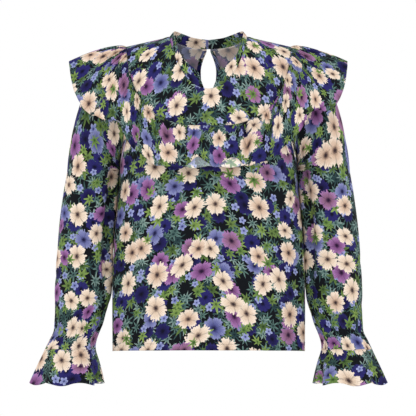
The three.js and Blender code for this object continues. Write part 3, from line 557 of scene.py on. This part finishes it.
def drawPrint(tree):
    cloth = addNode(tree, "UVMap", uv_map="cloth").outputs[0]
    drift = addNode(tree, "TexNoise", {"Vector": cloth, "Scale": motifInk["driftScale"], "Detail": 1.0},
                    noise_dimensions="2D")
    offBy = addNode(tree, "VectorMath", {0: drift.outputs["Color"], 1: (0.5, 0.5, 0.5)},
                    operation="SUBTRACT")
    place = addNode(tree, "VectorMath", {0: offBy.outputs[0], 1: [motifInk["drift"]] * 3, 2: cloth},
                    operation="MULTIPLY_ADD")
    colour = srgb(motifInk["ground"])
    for motif in motifs:
        group = addNode(tree, "Group", node_tree=motifGroup)
        tree.links.new(place.outputs[0], group.inputs["Cloth"])
        for name in motifInputs:
            scale = 0.001 if name in ("Spacing", "Radius") else 1
            group.inputs[name].default_value = motif[name.lower()] * scale
        found = {name: group.outputs[name] for name in motifOutputs}
        addChain(tree, found, [
            ("isOther", "LESS_THAN", "Pick", motif["otherShare"]),
            ("rays", "MULTIPLY", "Angle", motifInk["rays"]),
            ("bend", "MULTIPLY_ADD", "Out", motifInk["rayBend"], "rays"),
            ("wave", "SINE", "bend"),
            ("ray", "MULTIPLY_ADD", "wave", 0.5, 0.5),
            ("thin", "POWER", "ray", 2.0),
            ("rayFade", "SUBTRACT", 1.05, "Out"),
            ("vein", "MULTIPLY", "thin", "rayFade"),
            ("veins", "MULTIPLY", "vein", motif["veins"] * motifInk["rayDepth"]),
            ("sides", "POWER", "Between", motifInk["gapSharpness"]),
            ("edges", "MULTIPLY", "sides", motifInk["gapDepth"]),
            ("fromHeart", "SUBTRACT", "Out", motifInk["heartReach"]),
            ("heartStep", "DIVIDE", "fromHeart", motifInk["heartFade"]),
            ("heartOut", "MULTIPLY_ADD", "wave", 0.5, "heartStep"),
            ("towardsRim", "POWER", "Out", motifInk["rimReach"]),
        ])
        shade = srgb(motif["body"])
        for share, other in (("isOther", "other"), ("towardsRim", "rim"), ("veins", "vein"),
                             ("edges", "heart")):
            shade = mixColours(tree, found[share], shade, srgb(motif[other]))
        whole = mixColours(tree, found["heartOut"], srgb(motif["heart"]), shade)
        colour = mixColours(tree, found["Mask"], colour, whole)
    return colour, cloth


# Crepe weave: 0.3 mm twisted threads give a fine pebbled, matt face. It is drawn at 0.9 mm, because
# the real one is too fine to show.
weave = {"pitch": 0.9, "bump": 0.25, "height": 0.12, "pale": "#cdd4de", "paleShare": 0.26,
         "wrongSidePaintedLight": 1.3}


def makeCrepe(name, wrongSide):
    material, tree = newMaterial(name)
    colour, cloth = drawPrint(tree)
    paintedLight = 1
    if wrongSide:  # the ink soaks through only in part, so the wrong side is pale and greyed
        colour = mixColours(tree, weave["paleShare"], colour, srgb(weave["pale"]))
        # Painted light: besides its real paleness, the wrong side is made lighter than its own colour, to
        # brighten the shaded inside of the neck.
        paintedLight = weave["wrongSidePaintedLight"]
    pebble = addNode(tree, "TexNoise", {"Vector": cloth, "Scale": 1000 / weave["pitch"], "Detail": 2.0},
                     noise_dimensions="2D")
    tint = addNode(tree, "MapRange", {0: pebble.outputs[0], 3: 0.9 * paintedLight, 4: 1.1 * paintedLight})
    shaded = addNode(tree, "HueSaturation", {"Value": tint.outputs[0], "Color": colour})
    bump = addNode(tree, "Bump", {"Height": pebble.outputs[0], "Strength": weave["bump"],
                                  "Distance": weave["height"] * 0.001})
    addSurface(tree, {
        "Base Color": shaded.outputs[0], "Roughness": 0.8, "IOR": 1.5, "Specular IOR Level": 0.12,
        "Sheen Weight": 0.02, "Sheen Roughness": 0.5, "Normal": bump.outputs[0],
    })
    return material


motifGroup = makeMotifGroup()
printedCrepe = makeCrepe("printedCrepe", False)
crepeWrongSide = makeCrepe("crepeWrongSide", True)


# Cast polyester resin, polished: dark, with a soft gloss and a faint swirl in the resin.
def makeResin():
    material, tree = newMaterial("castResinButton")
    place = addNode(tree, "TexCoord").outputs["Object"]
    swirl = addNode(tree, "TexNoise", {"Vector": place, "Scale": 400.0, "Detail": 3.0, "Distortion": 1.2})
    colour = mixColours(tree, swirl.outputs[0], srgb("#15131c"), srgb("#2a2636"))
    addSurface(tree, {"Base Color": colour, "Roughness": 0.32, "IOR": 1.52})
    return material


# Twisted polyester thread, 0.35 mm strands: matt and slightly fuzzy, with a diagonal twist.
def makeThread():
    material, tree = newMaterial("twistedThread")
    place = addNode(tree, "TexCoord").outputs["Object"]
    twist = addNode(tree, "TexWave", {"Vector": place, "Scale": 900.0, "Distortion": 1.0},
                    bands_direction="DIAGONAL").outputs[1]
    colour = mixColours(tree, twist, srgb("#14131f"), srgb("#2b2a3c"))
    bump = addNode(tree, "Bump", {"Height": twist, "Strength": 0.4, "Distance": 0.0002})
    addSurface(tree, {"Base Color": colour, "Roughness": 0.7, "IOR": 1.5, "Normal": bump.outputs[0]})
    return material


castResin = makeResin()
twistedThread = makeThread()
print("materials made")


def seat(piece, *nodes):
    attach(piece, "root")
    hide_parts(*nodes)


# Places where a row of stitches runs: one row of a piece's points, counted back from its free edge,
# with the outward directions there.
stitchLines = []


def stitchAlong(rows, row, closed=False):
    normals = gridNormals(rows, closed)
    line, out = rows[row], normals[row]
    if closed:
        line, out = np.concatenate([line, line[:1]]), np.concatenate([out, out[:1]])
    stitchLines.append((line, out))


# Front yoke
yoke = {"rows": 5, "down": 6, "across": 6, "printAt": (0.3, 0.2)}


def makeYoke():
    neckX, neckLength = yokeCurve(yokePlaces, "neck")
    seamX, seamLength = yokeCurve(yokePlaces, "seam")
    shares = np.arange(yoke["rows"] + 1)[:, None] / yoke["rows"]
    lengths = mix(neckLength, seamLength, shares)
    lengths[:, [0, -1]] = 0
    rows = refine(torsoPoint(mix(neckX, seamX, shares), lengths, "front"), yoke["down"], yoke["across"])
    flat = layTorsoFlat(rows, "front")
    rows = rows + gridNormals(rows) * crease(flat, yokeCreases)[..., None]
    return clothMesh("frontYoke", [(rows, flat)], yoke["printAt"])


frontYoke = makeYoke()
seat(frontYoke, "front_yoke")
print("yoke made")


# Front and back panels
panels = {"down": 7, "across": 6, "heldEdge": 10, "frontPrintAt": (0.0, 0.0), "backPrintAt": (1.52, 0.38)}


def frontRows():
    seamX, seamLength = yokeCurve(yokePlaces, "seam")
    seamLength[[0, -1]] = 0
    inner = [panelColumn(x, length, torso["frontSeamShare"] * place, "front")
             for x, length, place in zip(seamX, seamLength, yokePlaces)]
    edges = [panelColumn(sign * torso["tipX"], 0, sign, "front") for sign in (-1, 1)]
    return np.stack([edges[0], *inner, edges[1]], axis=1)


backSteps = {"neck": 6, "shoulder": 6, "tipClear": 2}


def backRows():
    columns = []
    for i in range(backSteps["neck"] + backSteps["shoulder"] + 1):
        if i <= backSteps["neck"]:
            x = torso["neckX"] * i / backSteps["neck"]
            z = float(along(backNeckline, "x", "z", x))
        else:
            x = mix(torso["neckX"], torso["tipX"], (i - backSteps["neck"]) / backSteps["shoulder"])
            z = shoulderZ(x)
        share = 1 if x == torso["tipX"] else x / (torso["tipX"] + backSteps["tipClear"])
        length = 0 if x >= torso["neckX"] else float(lengthAt(x, z, "back"))
        columns.append(panelColumn(x, length, share, "back"))
    left = [column * (-1, 1, 1) for column in columns[1:]]
    return np.stack([*columns[::-1], *left], axis=1)


frontForm = refine(frontRows(), panels["down"], panels["across"])
backForm = refine(backRows(), panels["down"], panels["across"])


# A panel with its creases, which die away at its edges, where seams hold the cloth.
def creasedPanel(form, side, creases):
    flat = layTorsoFlat(form, side)
    j, i = np.indices(form.shape[:2])
    nearest = np.minimum(np.minimum(i, form.shape[1] - 1 - i), j)
    relief = crease(flat, creases) * smooth(nearest / panels["heldEdge"])
    return form + gridNormals(form) * relief[..., None], flat


def makeFront():
    rows, flat = creasedPanel(frontForm, "front", frontCreases)
    stitchAlong(rows, -4)
    return clothMesh("frontPanel", [(rows, flat)], panels["frontPrintAt"])


frontPanel = makeFront()
seat(frontPanel, "front")

keyhole = table(
    "x z", (3, 4), (4, -12), (10, -27), (14.5, -43), (15.2, -56), (13.5, -74), (8, -90), (0, -97),
)
keyholeEase = 70  # how far to each side the cloth's columns make way for the hole


def keyholeHalf(z):
    return np.where(z > keyhole[-1]["z"], np.maximum(along(keyhole, "z", "x", z), 0), 0)


def makeBack():
    rows, _ = creasedPanel(backForm, "back", backCreases)
    middle = rows.shape[1] // 2
    halves = []
    for part, sign in ((rows[:, :middle + 1], 1), (rows[:, middle:], -1)):
        x, z = part[..., 0], part[..., 2]
        ease = keyholeHalf(z) * (1 - smooth(np.abs(x) / keyholeEase))
        moved = torsoAt(x + sign * ease, z, "back")
        part = np.where((ease > 0)[..., None], moved, part)
        stitchAlong(part, -4)
        halves.append((part, layTorsoFlat(part, "back")))
    return clothMesh("backPanel", halves, panels["backPrintAt"])


backPanel = makeBack()
seat(backPanel, "back")
print("front and back made")


# Keyhole facing: a strip sewn round the hole on the inside, right side towards the wearer
facing = {"width": 8, "inside": 1.3, "topZ": -11, "middleZ": -52, "steps": 40, "columns": 4,
          "thickness": 0.4, "printAt": (2.3, 0.1)}


def makeFacing():
    eased = np.sin(np.linspace(0, math.pi / 2, facing["steps"]))
    zs = mix(facing["topZ"], keyhole[-1]["z"], eased)
    xs = keyholeHalf(zs)
    outline = np.concatenate([np.stack([xs, zs], -1), np.stack([-xs, zs], -1)[-2::-1]])
    away = unit(np.stack([outline[:, 0], np.minimum(outline[:, 1] - facing["middleZ"], 0)], -1))
    rows = []
    for step in range(facing["columns"] + 1):
        spot = outline + away * facing["width"] * step / facing["columns"]
        point = torsoAt(spot[:, 0], spot[:, 1], "back")
        rows.append(point - torsoNormalAt(point, "back") * facing["inside"])
    rows = np.array(rows)[:, ::-1]
    return clothMesh("keyholeFacing", [(rows, layFlat(rows))], facing["printAt"], facing["thickness"])


keyholeFacing = makeFacing()
seat(keyholeFacing, "keyhole_facing")


# Neck band, in two halves that part at the notch in front and meet at the back
band = {"down": 8, "across": 8, "thickness": 1.1, "frontColumn": 1, "backGap": 0.1, "rows": 2,
        "crown": 0.5, "printAt": (0.9, 0.55)}
bandTop = table(
    "share x y z",
    (0, 21, -73, -57), (0.14, 38, -64, -43), (0.3, 55, -44, -22), (0.43, 64, -20, 4),
    (0.56, 68, 8, 23), (0.7, 55, 36, 22), (0.85, 30, 56, 14), (1, 0.1, 62, 10),
)


def bandRows():
    places = yokePlaces[yokePlaces >= band["frontColumn"] / yokeSteps - 1e-9]
    x, length = yokeCurve(places, "neck")
    length[-1] = 0
    front = torsoPoint(x, length, "front")
    shares = np.arange(backSteps["neck"] - 1, -1, -1) / backSteps["neck"]
    x = np.maximum(torso["neckX"] * shares, band["backGap"])
    back = torsoAt(x, along(backNeckline, "x", "z", x), "back")
    lower = np.concatenate([front, back])
    steps = running(spans(lower))
    upper = np.stack([along(bandTop, "share", name, steps / steps[-1]) for name in "xyz"], -1)
    shares = np.arange(band["rows"] + 1)[:, None, None] / band["rows"]
    rows = refine(mix(upper, lower, shares), band["down"], band["across"])
    crown = np.sin(np.linspace(0, math.pi, len(rows)))[:, None, None] * band["crown"]
    return rows + gridNormals(rows) * crown


bandForm = bandRows()
for name, node, rows, shift in (
    ("neckBandLeft", "neck_band_left", bandForm, 0),
    ("neckBandRight", "neck_band_right", mirrored(bandForm), 0.7),
):
    printAt = (band["printAt"][0] + shift, band["printAt"][1])
    stitchAlong(rows, -2)
    piece = clothMesh(name, [(rows, layFlat(rows, even=True))], printAt, band["thickness"], inner=0)
    seat(piece, node)
print("neck made")


# Ruffle: one row for each fold of the solids, with finer gathers at the seam and a livelier edge
ruffleLines = table(
    "seamX seamZ x y z",
    (0, -163, 0, -152, -250), (55, -160, 59, -149, -249), (104, -139, 112, -136, -233),
    (133, -107, 155, -113, -196), (150, -68, 197, -97, -160), (158, -31, 236, -80, -134),
    (160, -15, 261, -48, -92), (160.5, -6.4, 272, -4, -33), (161, -16, 264, 36, -50),
    (160, -50, 238, 66, -84), (158, -90, 206, 86, -122), (157, -128, 176, 90, -152),
)
ruffleFolds = table(
    "at out spread",
    (-398, 7, 30), (-322, 10, 27), (-254, 12, 23), (-192, 15, 20), (-134, 18, 19), (-74, 17, 20),
    (-16, 18, 19), (44, 17, 20), (99, 20, 17), (152, 15, 19), (208, 14, 21), (272, 11, 25), (350, 8, 30),
)
# Deep narrow tucks that run down from the seam, by length along the free edge.
ruffleTucks = table(
    "at depth width drift until",
    (-365, 3, 5, 4, 0.8), (-296, 3.5, 4.5, -5, 0.7), (-226, 4, 4, 4, 0.8), (-162, 4.5, 4, -4, 0.6),
    (-106, 4.5, 3.8, 5, 0.75), (-84, 7, 3.2, -3, 1.1), (-93, -6, 4.5, -3, 1.1), (-44, 4, 4, 3, 0.6),
    (12, 3.5, 4, -4, 0.7), (75, 7.5, 3, 2, 1.2), (84, -8, 4.5, 2, 1.2), (66, -3, 5, 2, 1.1),
    (106, 6, 3.4, 4, 0.9), (114, -4, 5, 4, 0.9), (132, 4, 4, -5, 0.8), (184, 4, 4.5, 4, 0.7),
    (240, 3.5, 5, -5, 0.8), (312, 3.5, 5, 4, 0.7), (360, 3, 5, -4, 0.7), (405, 3, 5, 4, 0.7),
    (-410, 3, 5, -4, 0.7), (440, 3, 5, -3, 0.7), (-445, 3, 5, 3, 0.7),
)
# Places where the free edge rolls up and shows its paler wrong side, by length along the edge.
edgeRolls = table(
    "at spread up down out",
    (-21, 24, 46, 28, 14), (44, 27, 45, 27, 14), (-214, 22, 20, 0, 8), (246, 22, 20, 0, 8),
)
ruffle = {
    "shoulder": 7, "frontSteps": 380, "backSteps": 120, "rows": 22, "edgeSteps": 60, "endLines": 2,
    "directionStep": 0.05,
    "standOff": 2.4, "sewnOff": 0.3, "sewnShare": 0.07, "bulge": 12, "bulgeAt": 0.45, "trough": 5,
    "foldStart": 1.4, "gather": 1.5, "gatherPitch": 11, "gatherAt": 0.16, "gatherReach": 0.38,
    "gatherStart": 0.06, "gatherWander": ((1.9, 1 / 23, 0), (1.1, 1 / 9.3, 0)),
    "tuckStart": 0.12, "tuckFade": 0.3, "rollFrom": 0.8, "rollTurn": 0.7 * math.pi,
    "edgeWave": 1.8, "edgePitch": 26, "edgeWander": ((1.7, 1 / 41, 0.8),),
    "frontPrintAt": (0.5, 1.1), "backPrintAt": (3.0, 1.1),
}


# The free edge as a smooth curve through the table's points, with its row numbers and lengths.
def edgeCurve():
    points = np.array([[row["x"], row["y"], row["z"]] for row in ruffleLines], float)
    curve = refineFirst(points, ruffle["edgeSteps"])
    return np.linspace(0, len(points) - 1, len(curve)), curve, running(spans(curve))


edgeRows, edgePoints, edgeLengths = edgeCurve()


def waveAlong(length, pitch, wanders):
    return wandering(length, 2 * math.pi / pitch, wanders)


def ruffleLine(row, sign, side):
    seamX = byRow(ruffleLines, "seamX", row)
    seamZ = np.minimum(byRow(ruffleLines, "seamZ", row), shoulderZ(seamX))
    onSeam = torsoAt(seamX, seamZ, side)
    normal = torsoNormalAt(onSeam, side)
    seam = onSeam + normal * ruffle["standOff"]
    edge = pointAt(row, edgeRows, edgePoints)
    step = ruffle["directionStep"]
    onward = pointAt(row + step, edgeRows, edgePoints) - pointAt(row - step, edgeRows, edgePoints)
    outward = unit(np.cross(unit(edge - seam), unit(onward)))
    outward = outward * np.where((outward * normal).sum(-1) < 0, -1, 1)[..., None]
    w = np.linspace(0, 1, ruffle["rows"] + 1)[:, None]
    w3 = w[..., None]
    middle = mix(seam, edge, ruffle["bulgeAt"]) + outward * ruffle["bulge"]
    points = seam * (1 - w3) ** 2 + middle * 2 * w3 * (1 - w3) + edge * w3 ** 2
    length = sign * np.interp(row, edgeRows, edgeLengths)
    relief = -ruffle["trough"] + sum(fold["out"] * bell((length - fold["at"]) / fold["spread"])
                                     for fold in ruffleFolds)
    gathers = ruffle["gather"] * waveAlong(length, ruffle["gatherPitch"], ruffle["gatherWander"])
    ripples = ruffle["edgeWave"] * waveAlong(length, ruffle["edgePitch"], ruffle["edgeWander"])
    near = bell((w - ruffle["gatherAt"]) / ruffle["gatherReach"]) * smooth(w / ruffle["gatherStart"])
    lift = relief * w ** ruffle["foldStart"] + gathers * near + ripples * w ** 3
    for tuck in ruffleTucks:
        beside = length - tuck["at"] - tuck["drift"] * w
        fade = (w - ruffle["tuckFade"]) / (tuck["until"] - ruffle["tuckFade"])
        deep = tuck["depth"] * smooth(w / ruffle["tuckStart"]) * (1 - smooth(fade))
        lift = lift - deep * bell(beside / (tuck["width"] * (1 + w)))
    lift = lift * smooth((len(ruffleLines) - 1 - row) / ruffle["endLines"])
    points = points + outward * lift[..., None]
    rolled = np.clip((w - ruffle["rollFrom"]) / (1 - ruffle["rollFrom"]), 0, 1)
    for roll in edgeRolls:
        here = bell((length - roll["at"]) / roll["spread"])
        away = here * roll["out"] * np.sin(rolled * ruffle["rollTurn"])
        rise = here * (roll["up"] * rolled ** 2 - roll["down"] * w ** 2)
        points = points + outward * away[..., None] + unit(seam - edge) * rise[..., None]
    sewn = (1 - smooth(w3 / ruffle["sewnShare"])) * (ruffle["sewnOff"] - ruffle["standOff"])
    return (points + normal * sewn) * np.array([sign, 1, 1])


def ruffleFlat(rows):
    down = running(spans(rows))
    return np.stack([np.broadcast_to(running(spans(rows[-1])), down.shape), -down], -1)


def makeRuffleFront():
    row = np.linspace(0, ruffle["shoulder"], ruffle["frontSteps"] + 1)
    plus = ruffleLine(row, 1, "front")
    minus = ruffleLine(row[1:], -1, "front")
    rows = np.concatenate([minus[:, ::-1], plus], axis=1)
    stitchAlong(rows, -3)
    return clothMesh("ruffleFront", [(rows, ruffleFlat(rows))], ruffle["frontPrintAt"])


def makeRuffleBack(name, sign):
    row = np.linspace(ruffle["shoulder"], len(ruffleLines) - 1, ruffle["backSteps"] + 1)
    rows = ruffleLine(row, sign, "back")
    if sign < 0:
        rows = rows[:, ::-1]
    stitchAlong(rows, -3)
    printAt = (ruffle["backPrintAt"][0] + sign * 0.4, ruffle["backPrintAt"][1])
    return clothMesh(name, [(rows, ruffleFlat(rows))], printAt)


ruffleFront = makeRuffleFront()
seat(ruffleFront, "ruffle_front")
for name, node, sign in (("ruffleLeftShoulder", "ruffle_left_shoulder", 1),
                         ("ruffleRightShoulder", "ruffle_right_shoulder", -1)):
    piece = makeRuffleBack(name, sign)
    seat(piece, node)
print("ruffle made")


# Sleeves and flounces
sleeveSections = table(
    "z x y halfWidth halfDepth",
    (-250, 225, -2, 50.5, 56), (-300, 230.8, -4, 53.2, 54), (-360, 237.5, -8, 54, 52),
    (-420, 241.2, -13, 54.8, 50), (-480, 243.4, -19, 55.6, 48), (-520, 248, -23, 50, 42),
    (-545, 252, -26, 45, 35), (-561, 256, -28, 41.5, 29), (-578, 263, -30, 43.5, 34),
    (-594, 267.5, -32, 47.5, 41), (-618, 269.5, -34, 56, 51), (-638, 271.5, -35, 61.5, 56),
    (-660, 274, -36, 66, 60),
)
# The solids stay clear of the body. The cloth itself hangs against the body's side from behind, and
# is hollow in front of that, as the photograph's deep dark fold beside the arm shows.
sleeveTouch = table(
    "z against hollow",
    (-250, 1, 8), (-300, 1, 13), (-360, 1, 13), (-420, 1, 11), (-470, 1, 7), (-500, 0.4, 2), (-525, 0, 0),
)
touch = {"from": 163, "full": 181, "last": 206, "until": 238, "clear": 1.5, "hollowAt": 147,
         "hollowWidth": 15}
sleeve = {
    "overShoulder": {"leave": 55, "straight": 105, "outward": 1, "downward": 0.25},
    "underArm": {"leave": 7, "straight": 9, "outward": 0.4, "downward": 1},
    "inward": 0.05, "crowding": 1.15, "capRows": 44, "rowStep": 4.2, "wristZ": -561, "seamZ": -594,
    "hemZ": -660, "flounceRows": 26, "gathers": 8, "gatherDepth": 2.2, "gatherReach": 34,
    "finePleats": 31, "fineDepth": 1.3, "fineReach": 26, "fineWander": ((2.1, 3, 0.6), (1.3, 7, 0)),
    "waves": 6, "waveDepth": 7, "waveTurn": 0.6, "hemLift": 3, "frills": 13, "frillDepth": 1.4,
    "frillTurn": 1.2,
    "headPleats": 52, "headDepth": 1.0, "headWander": ((2.2, 5, 0),), "headRow": 6, "headRows": 7,
    "headStart": 4, "creaseStart": 14, "creaseEnd": 20,
}


def armholeRing():
    steps = torso["armholeSteps"] * panels["down"]
    front = frontForm[:steps + 1, -1]
    back = backForm[:steps + 1, 0][::-1]
    ring = np.concatenate([front, back[1:-1]])
    ring[0] = (front[0] + back[-1]) / 2
    ring[steps] = (front[-1] + back[0]) / 2
    return ring


# How far out the body's side is at depth y and height z, below the arm.
def bodySideX(y, z):
    depth = np.where(y < torso["sideY"], along(torsoSections, "z", "front", z),
                     along(torsoSections, "z", "back", z))
    away = np.clip(abs(y - torso["sideY"]) / depth, 0, 1)
    return halfWidthAt(z) * (1 - away ** torso["squareness"]) ** (1 / torso["squareness"])


# Rings of points at angles round the sleeve, from the shoulder forwards.
def sleeveSection(angle, z):
    at = {name: along(sleeveSections, "z", name, z) for name in ("x", "y", "halfWidth", "halfDepth")}
    below = np.clip((sleeve["wristZ"] - z) / (sleeve["wristZ"] - sleeve["hemZ"]), 0, 1)
    pinch = bell((z - sleeve["wristZ"]) / sleeve["gatherReach"])
    fine = bell((z - sleeve["wristZ"]) / sleeve["fineReach"])
    wave = sleeve["waves"] * angle + sleeve["waveTurn"]
    relief = (sleeve["gatherDepth"] * pinch * np.cos(sleeve["gathers"] * angle)
              + sleeve["waveDepth"] * below ** 2 * np.sin(wave)
              + sleeve["fineDepth"] * fine * wandering(angle, sleeve["finePleats"], sleeve["fineWander"])
              + sleeve["frillDepth"] * below ** 2 * np.sin(sleeve["frills"] * angle + sleeve["frillTurn"]))
    lift = sleeve["hemLift"] * below * np.cos(wave)
    degrees = np.degrees(angle)
    beside = (degrees - touch["hollowAt"]) / touch["hollowWidth"]
    relief = relief - along(sleeveTouch, "z", "hollow", z) * bell(beside)
    x = at["x"] + (at["halfWidth"] + relief) * np.cos(angle)
    y = at["y"] - (at["halfDepth"] + relief) * np.sin(angle)
    near = smooth((degrees - touch["from"]) / (touch["full"] - touch["from"]))
    near = near * smooth((touch["until"] - degrees) / (touch["until"] - touch["last"]))
    near = near * along(sleeveTouch, "z", "against", z)
    x = x - near * np.maximum(x - bodySideX(y, z) - touch["clear"], 0)
    return np.stack([x, y, z + lift + 0 * angle], -1)


# The points round a ring, and rings turned so that their columns run as a panel's do, seen from outside.
def ringAngles():
    count = len(armholeRing())
    return 2 * math.pi * np.arange(count) / count


def turnedRings(rings):
    return np.roll(np.array(rings)[:, ::-1], 1, axis=1)


def sleeveRows():
    ring, angle = armholeRing(), ringAngles()
    low = (1 - np.cos(angle)) / 2

    def cap(name, share):
        return mix(sleeve["overShoulder"][name], sleeve["underArm"][name], share)

    away = unit(np.stack([cap("outward", low ** 2), 0 * low, -cap("downward", low ** 2)], -1))
    end = sleeveSection(angle, sleeveSections[0]["z"])
    out = ring + away * cap("leave", low ** 0.7)[:, None]
    straight = cap("straight", low ** 0.7)[:, None]
    above = end + np.array([-sleeve["inward"], 0, 1]) * straight
    rows = []
    for j in range(sleeve["capRows"]):
        t = (j / sleeve["capRows"]) ** sleeve["crowding"]
        rows.append(ring * (1 - t) ** 3 + out * 3 * t * (1 - t) ** 2
                    + above * 3 * t * t * (1 - t) + end * t ** 3)
    top = sleeveSections[0]["z"]
    zs = np.linspace(top, sleeve["seamZ"], round((top - sleeve["seamZ"]) / sleeve["rowStep"]))
    return turnedRings(rows + [sleeveSection(angle, z) for z in zs])


# Flat places round a tube: the seam is under the arm, in the middle of the columns.
def tubeFlat(rows):
    steps = np.linalg.norm(np.roll(rows, -1, 1) - rows, axis=2)
    around = running(steps[:, :-1], 1) / steps.sum(1)[:, None] * steps.sum(1).mean()
    down = running(spans(rows).mean(1))
    return np.stack([around, np.broadcast_to(-down[:, None], around.shape)], -1)


def onSide(sign, rows, flat):
    return (rows, flat) if sign > 0 else (mirrored(rows), flat[:, ::-1] * (-1, 1))


def makeSleeve(name, sign, creases, printAt):
    flat = tubeFlat(sleeveForm)
    width = flat[..., 0].max()
    relief = sum(crease(flat + (shift, 0), creases) for shift in (0, -width, width))
    j = np.arange(len(sleeveForm))[:, None]
    angle = ringAngles()
    left = len(sleeveForm) - 1 - j
    relief = relief * smooth(j / sleeve["creaseStart"]) * smooth(left / sleeve["creaseEnd"])
    head = bell((j - sleeve["headRow"]) / sleeve["headRows"]) * smooth(j / sleeve["headStart"])
    head = sleeve["headDepth"] * head * (1 + np.cos(angle)) / 2
    relief = relief + head * wandering(angle, sleeve["headPleats"], sleeve["headWander"])
    rows = sleeveForm + gridNormals(sleeveForm, closed=True) * relief[..., None]
    return clothMesh(name, [onSide(sign, rows, flat)], printAt, closed=True)


def makeFlounce(name, sign, printAt):
    zs = np.linspace(sleeve["seamZ"], sleeve["hemZ"], sleeve["flounceRows"] + 1)
    rows = turnedRings([sleeveSection(ringAngles(), z) for z in zs])
    rows, flat = onSide(sign, rows, tubeFlat(rows))
    stitchAlong(rows, -4, closed=True)
    return clothMesh(name, [(rows, flat)], printAt, closed=True)


sleeveForm = sleeveRows()
# The right sleeve's creases are the left one's, each scaled and moved a little.
rightSleeve = {"at": (0.93, 17), "up": (1.04, 6), "turn": (0.85, -6), "depth": (0.95, 0)}
rightSleeveCreases = [row | {name: row[name] * scale + shift for name, (scale, shift) in rightSleeve.items()}
                      for row in sleeveCreases]
for side, sign, creases, sleeveAt, flounceAt in (
    ("Left", 1, sleeveCreases, (0.77, 0.9), (1.9, 1.7)),
    ("Right", -1, rightSleeveCreases, (2.6, 1.35), (3.4, 2.2)),
):
    piece = makeSleeve("sleeve" + side, sign, creases, sleeveAt)
    seat(piece, *["sleeve_%s_%s" % (side.lower(), length) for length in ("head", "upper", "lower")])
    piece = makeFlounce("flounce" + side, sign, flounceAt)
    seat(piece, "flounce_" + side.lower())
print("sleeves made")


# Stitches: short raised threads, pointed where they go into the cloth
stitch = {"pitch": 3.2, "length": 2.3, "width": 0.5, "height": 0.4, "clear": 0.05, "margin": 4,
          "shoulders": (0.25, 0.75)}


def makeStitches():
    vertices, faces = [], []
    for line, out in stitchLines:
        at = running(spans(line))
        for start in np.arange(stitch["margin"], at[-1] - stitch["margin"], stitch["pitch"]):
            normal = unit(pointAt(start, at, out))
            ends = [pointAt(t, at, line) + normal * stitch["clear"]
                    for t in (start, start + stitch["length"])]
            side = unit(np.cross(normal, ends[1] - ends[0])) * stitch["width"] / 2
            first = len(vertices)
            vertices.append(ends[0])
            for t in stitch["shoulders"]:
                middle = mix(ends[0], ends[1], t)
                vertices.extend([middle - side, middle, middle + side, middle + normal * stitch["height"]])
            vertices.append(ends[1])
            near, far, last = first + 1, first + 5, first + 9
            for k in range(4):
                n = (k + 1) % 4
                faces.append((first, near + n, near + k))
                faces.append((near + k, near + n, far + n, far + k))
                faces.append((last, far + k, far + n))
    mesh = bpy.data.meshes.new("hemStitches")
    mesh.from_pydata([tuple(v * 0.001) for v in vertices], [], faces)
    piece = bpy.data.objects.new("hemStitches", mesh)
    bpy.context.collection.objects.link(piece)
    piece.data.materials.append(twistedThread)
    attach(piece, "root")


makeStitches()
print("stitches made")


# Button and loop keep their solids, with the real finish
for node, material in (("neck_button", castResin), ("neck_loop", twistedThread)):
    solid = bpy.data.objects[node]
    solid.data.materials.clear()
    solid.data.materials.append(material)


# Floor, light and camera. The photograph's picture is 416 pixels across at 1.95 mm each. The floor
# is where the wearer stands, far below the blouse.
camera = {"distance": 6.0, "centreX": -0.001, "centreZ": -0.321, "mmPerPixel": 1.95, "pixels": 416,
          "sensor": 36}
studio = {"floorZ": -1.4, "floorSize": 6, "world": 1.0, "key": 14, "fill": 5}


def makeStudio():
    bpy.ops.mesh.primitive_plane_add(size=studio["floorSize"], location=(0, 0, studio["floorZ"]))
    floor = bpy.context.object
    floor.name = "paleFloor"
    paint, tree = newMaterial("paleMattPaint")
    addSurface(tree, {"Base Color": srgb("#f1f1ef"), "Roughness": 0.9})
    floor.data.materials.append(paint)
    world = bpy.data.worlds.new("studioWhite")
    bpy.context.scene.world = world
    world.use_nodes = True
    world.node_tree.nodes["Background"].inputs[0].default_value = (1, 1, 1, 1)
    world.node_tree.nodes["Background"].inputs[1].default_value = studio["world"]
    for name, place, size, power in (
        ("keyLight", (-1.6, -2.6, 1.5), 1.6, studio["key"]),
        ("fillLight", (2.0, -2.2, 0.2), 2.0, studio["fill"]),
    ):
        data = bpy.data.lights.new(name, "AREA")
        data.energy = power
        data.size = size
        lamp = bpy.data.objects.new(name, data)
        bpy.context.collection.objects.link(lamp)
        lamp.location = place
        aim = Vector((0, 0, -0.3)) - Vector(place)
        lamp.rotation_euler = aim.to_track_quat("-Z", "Y").to_euler()


def makeCamera():
    bpy.context.scene.view_settings.view_transform = "Standard"  # shows the inks as they are
    data = bpy.data.cameras.new("photoCamera")
    data.type = "PERSP"
    data.sensor_width = camera["sensor"]
    span = camera["mmPerPixel"] * camera["pixels"] * 0.001
    data.lens = camera["sensor"] * camera["distance"] / span
    data.clip_end = 50
    eye = bpy.data.objects.new("photoCamera", data)
    bpy.context.collection.objects.link(eye)
    eye.location = (camera["centreX"], -camera["distance"], camera["centreZ"])
    eye.rotation_euler = (math.pi / 2, 0, 0)
    bpy.context.scene.camera = eye


makeStudio()
makeCamera()
print("studio ready")
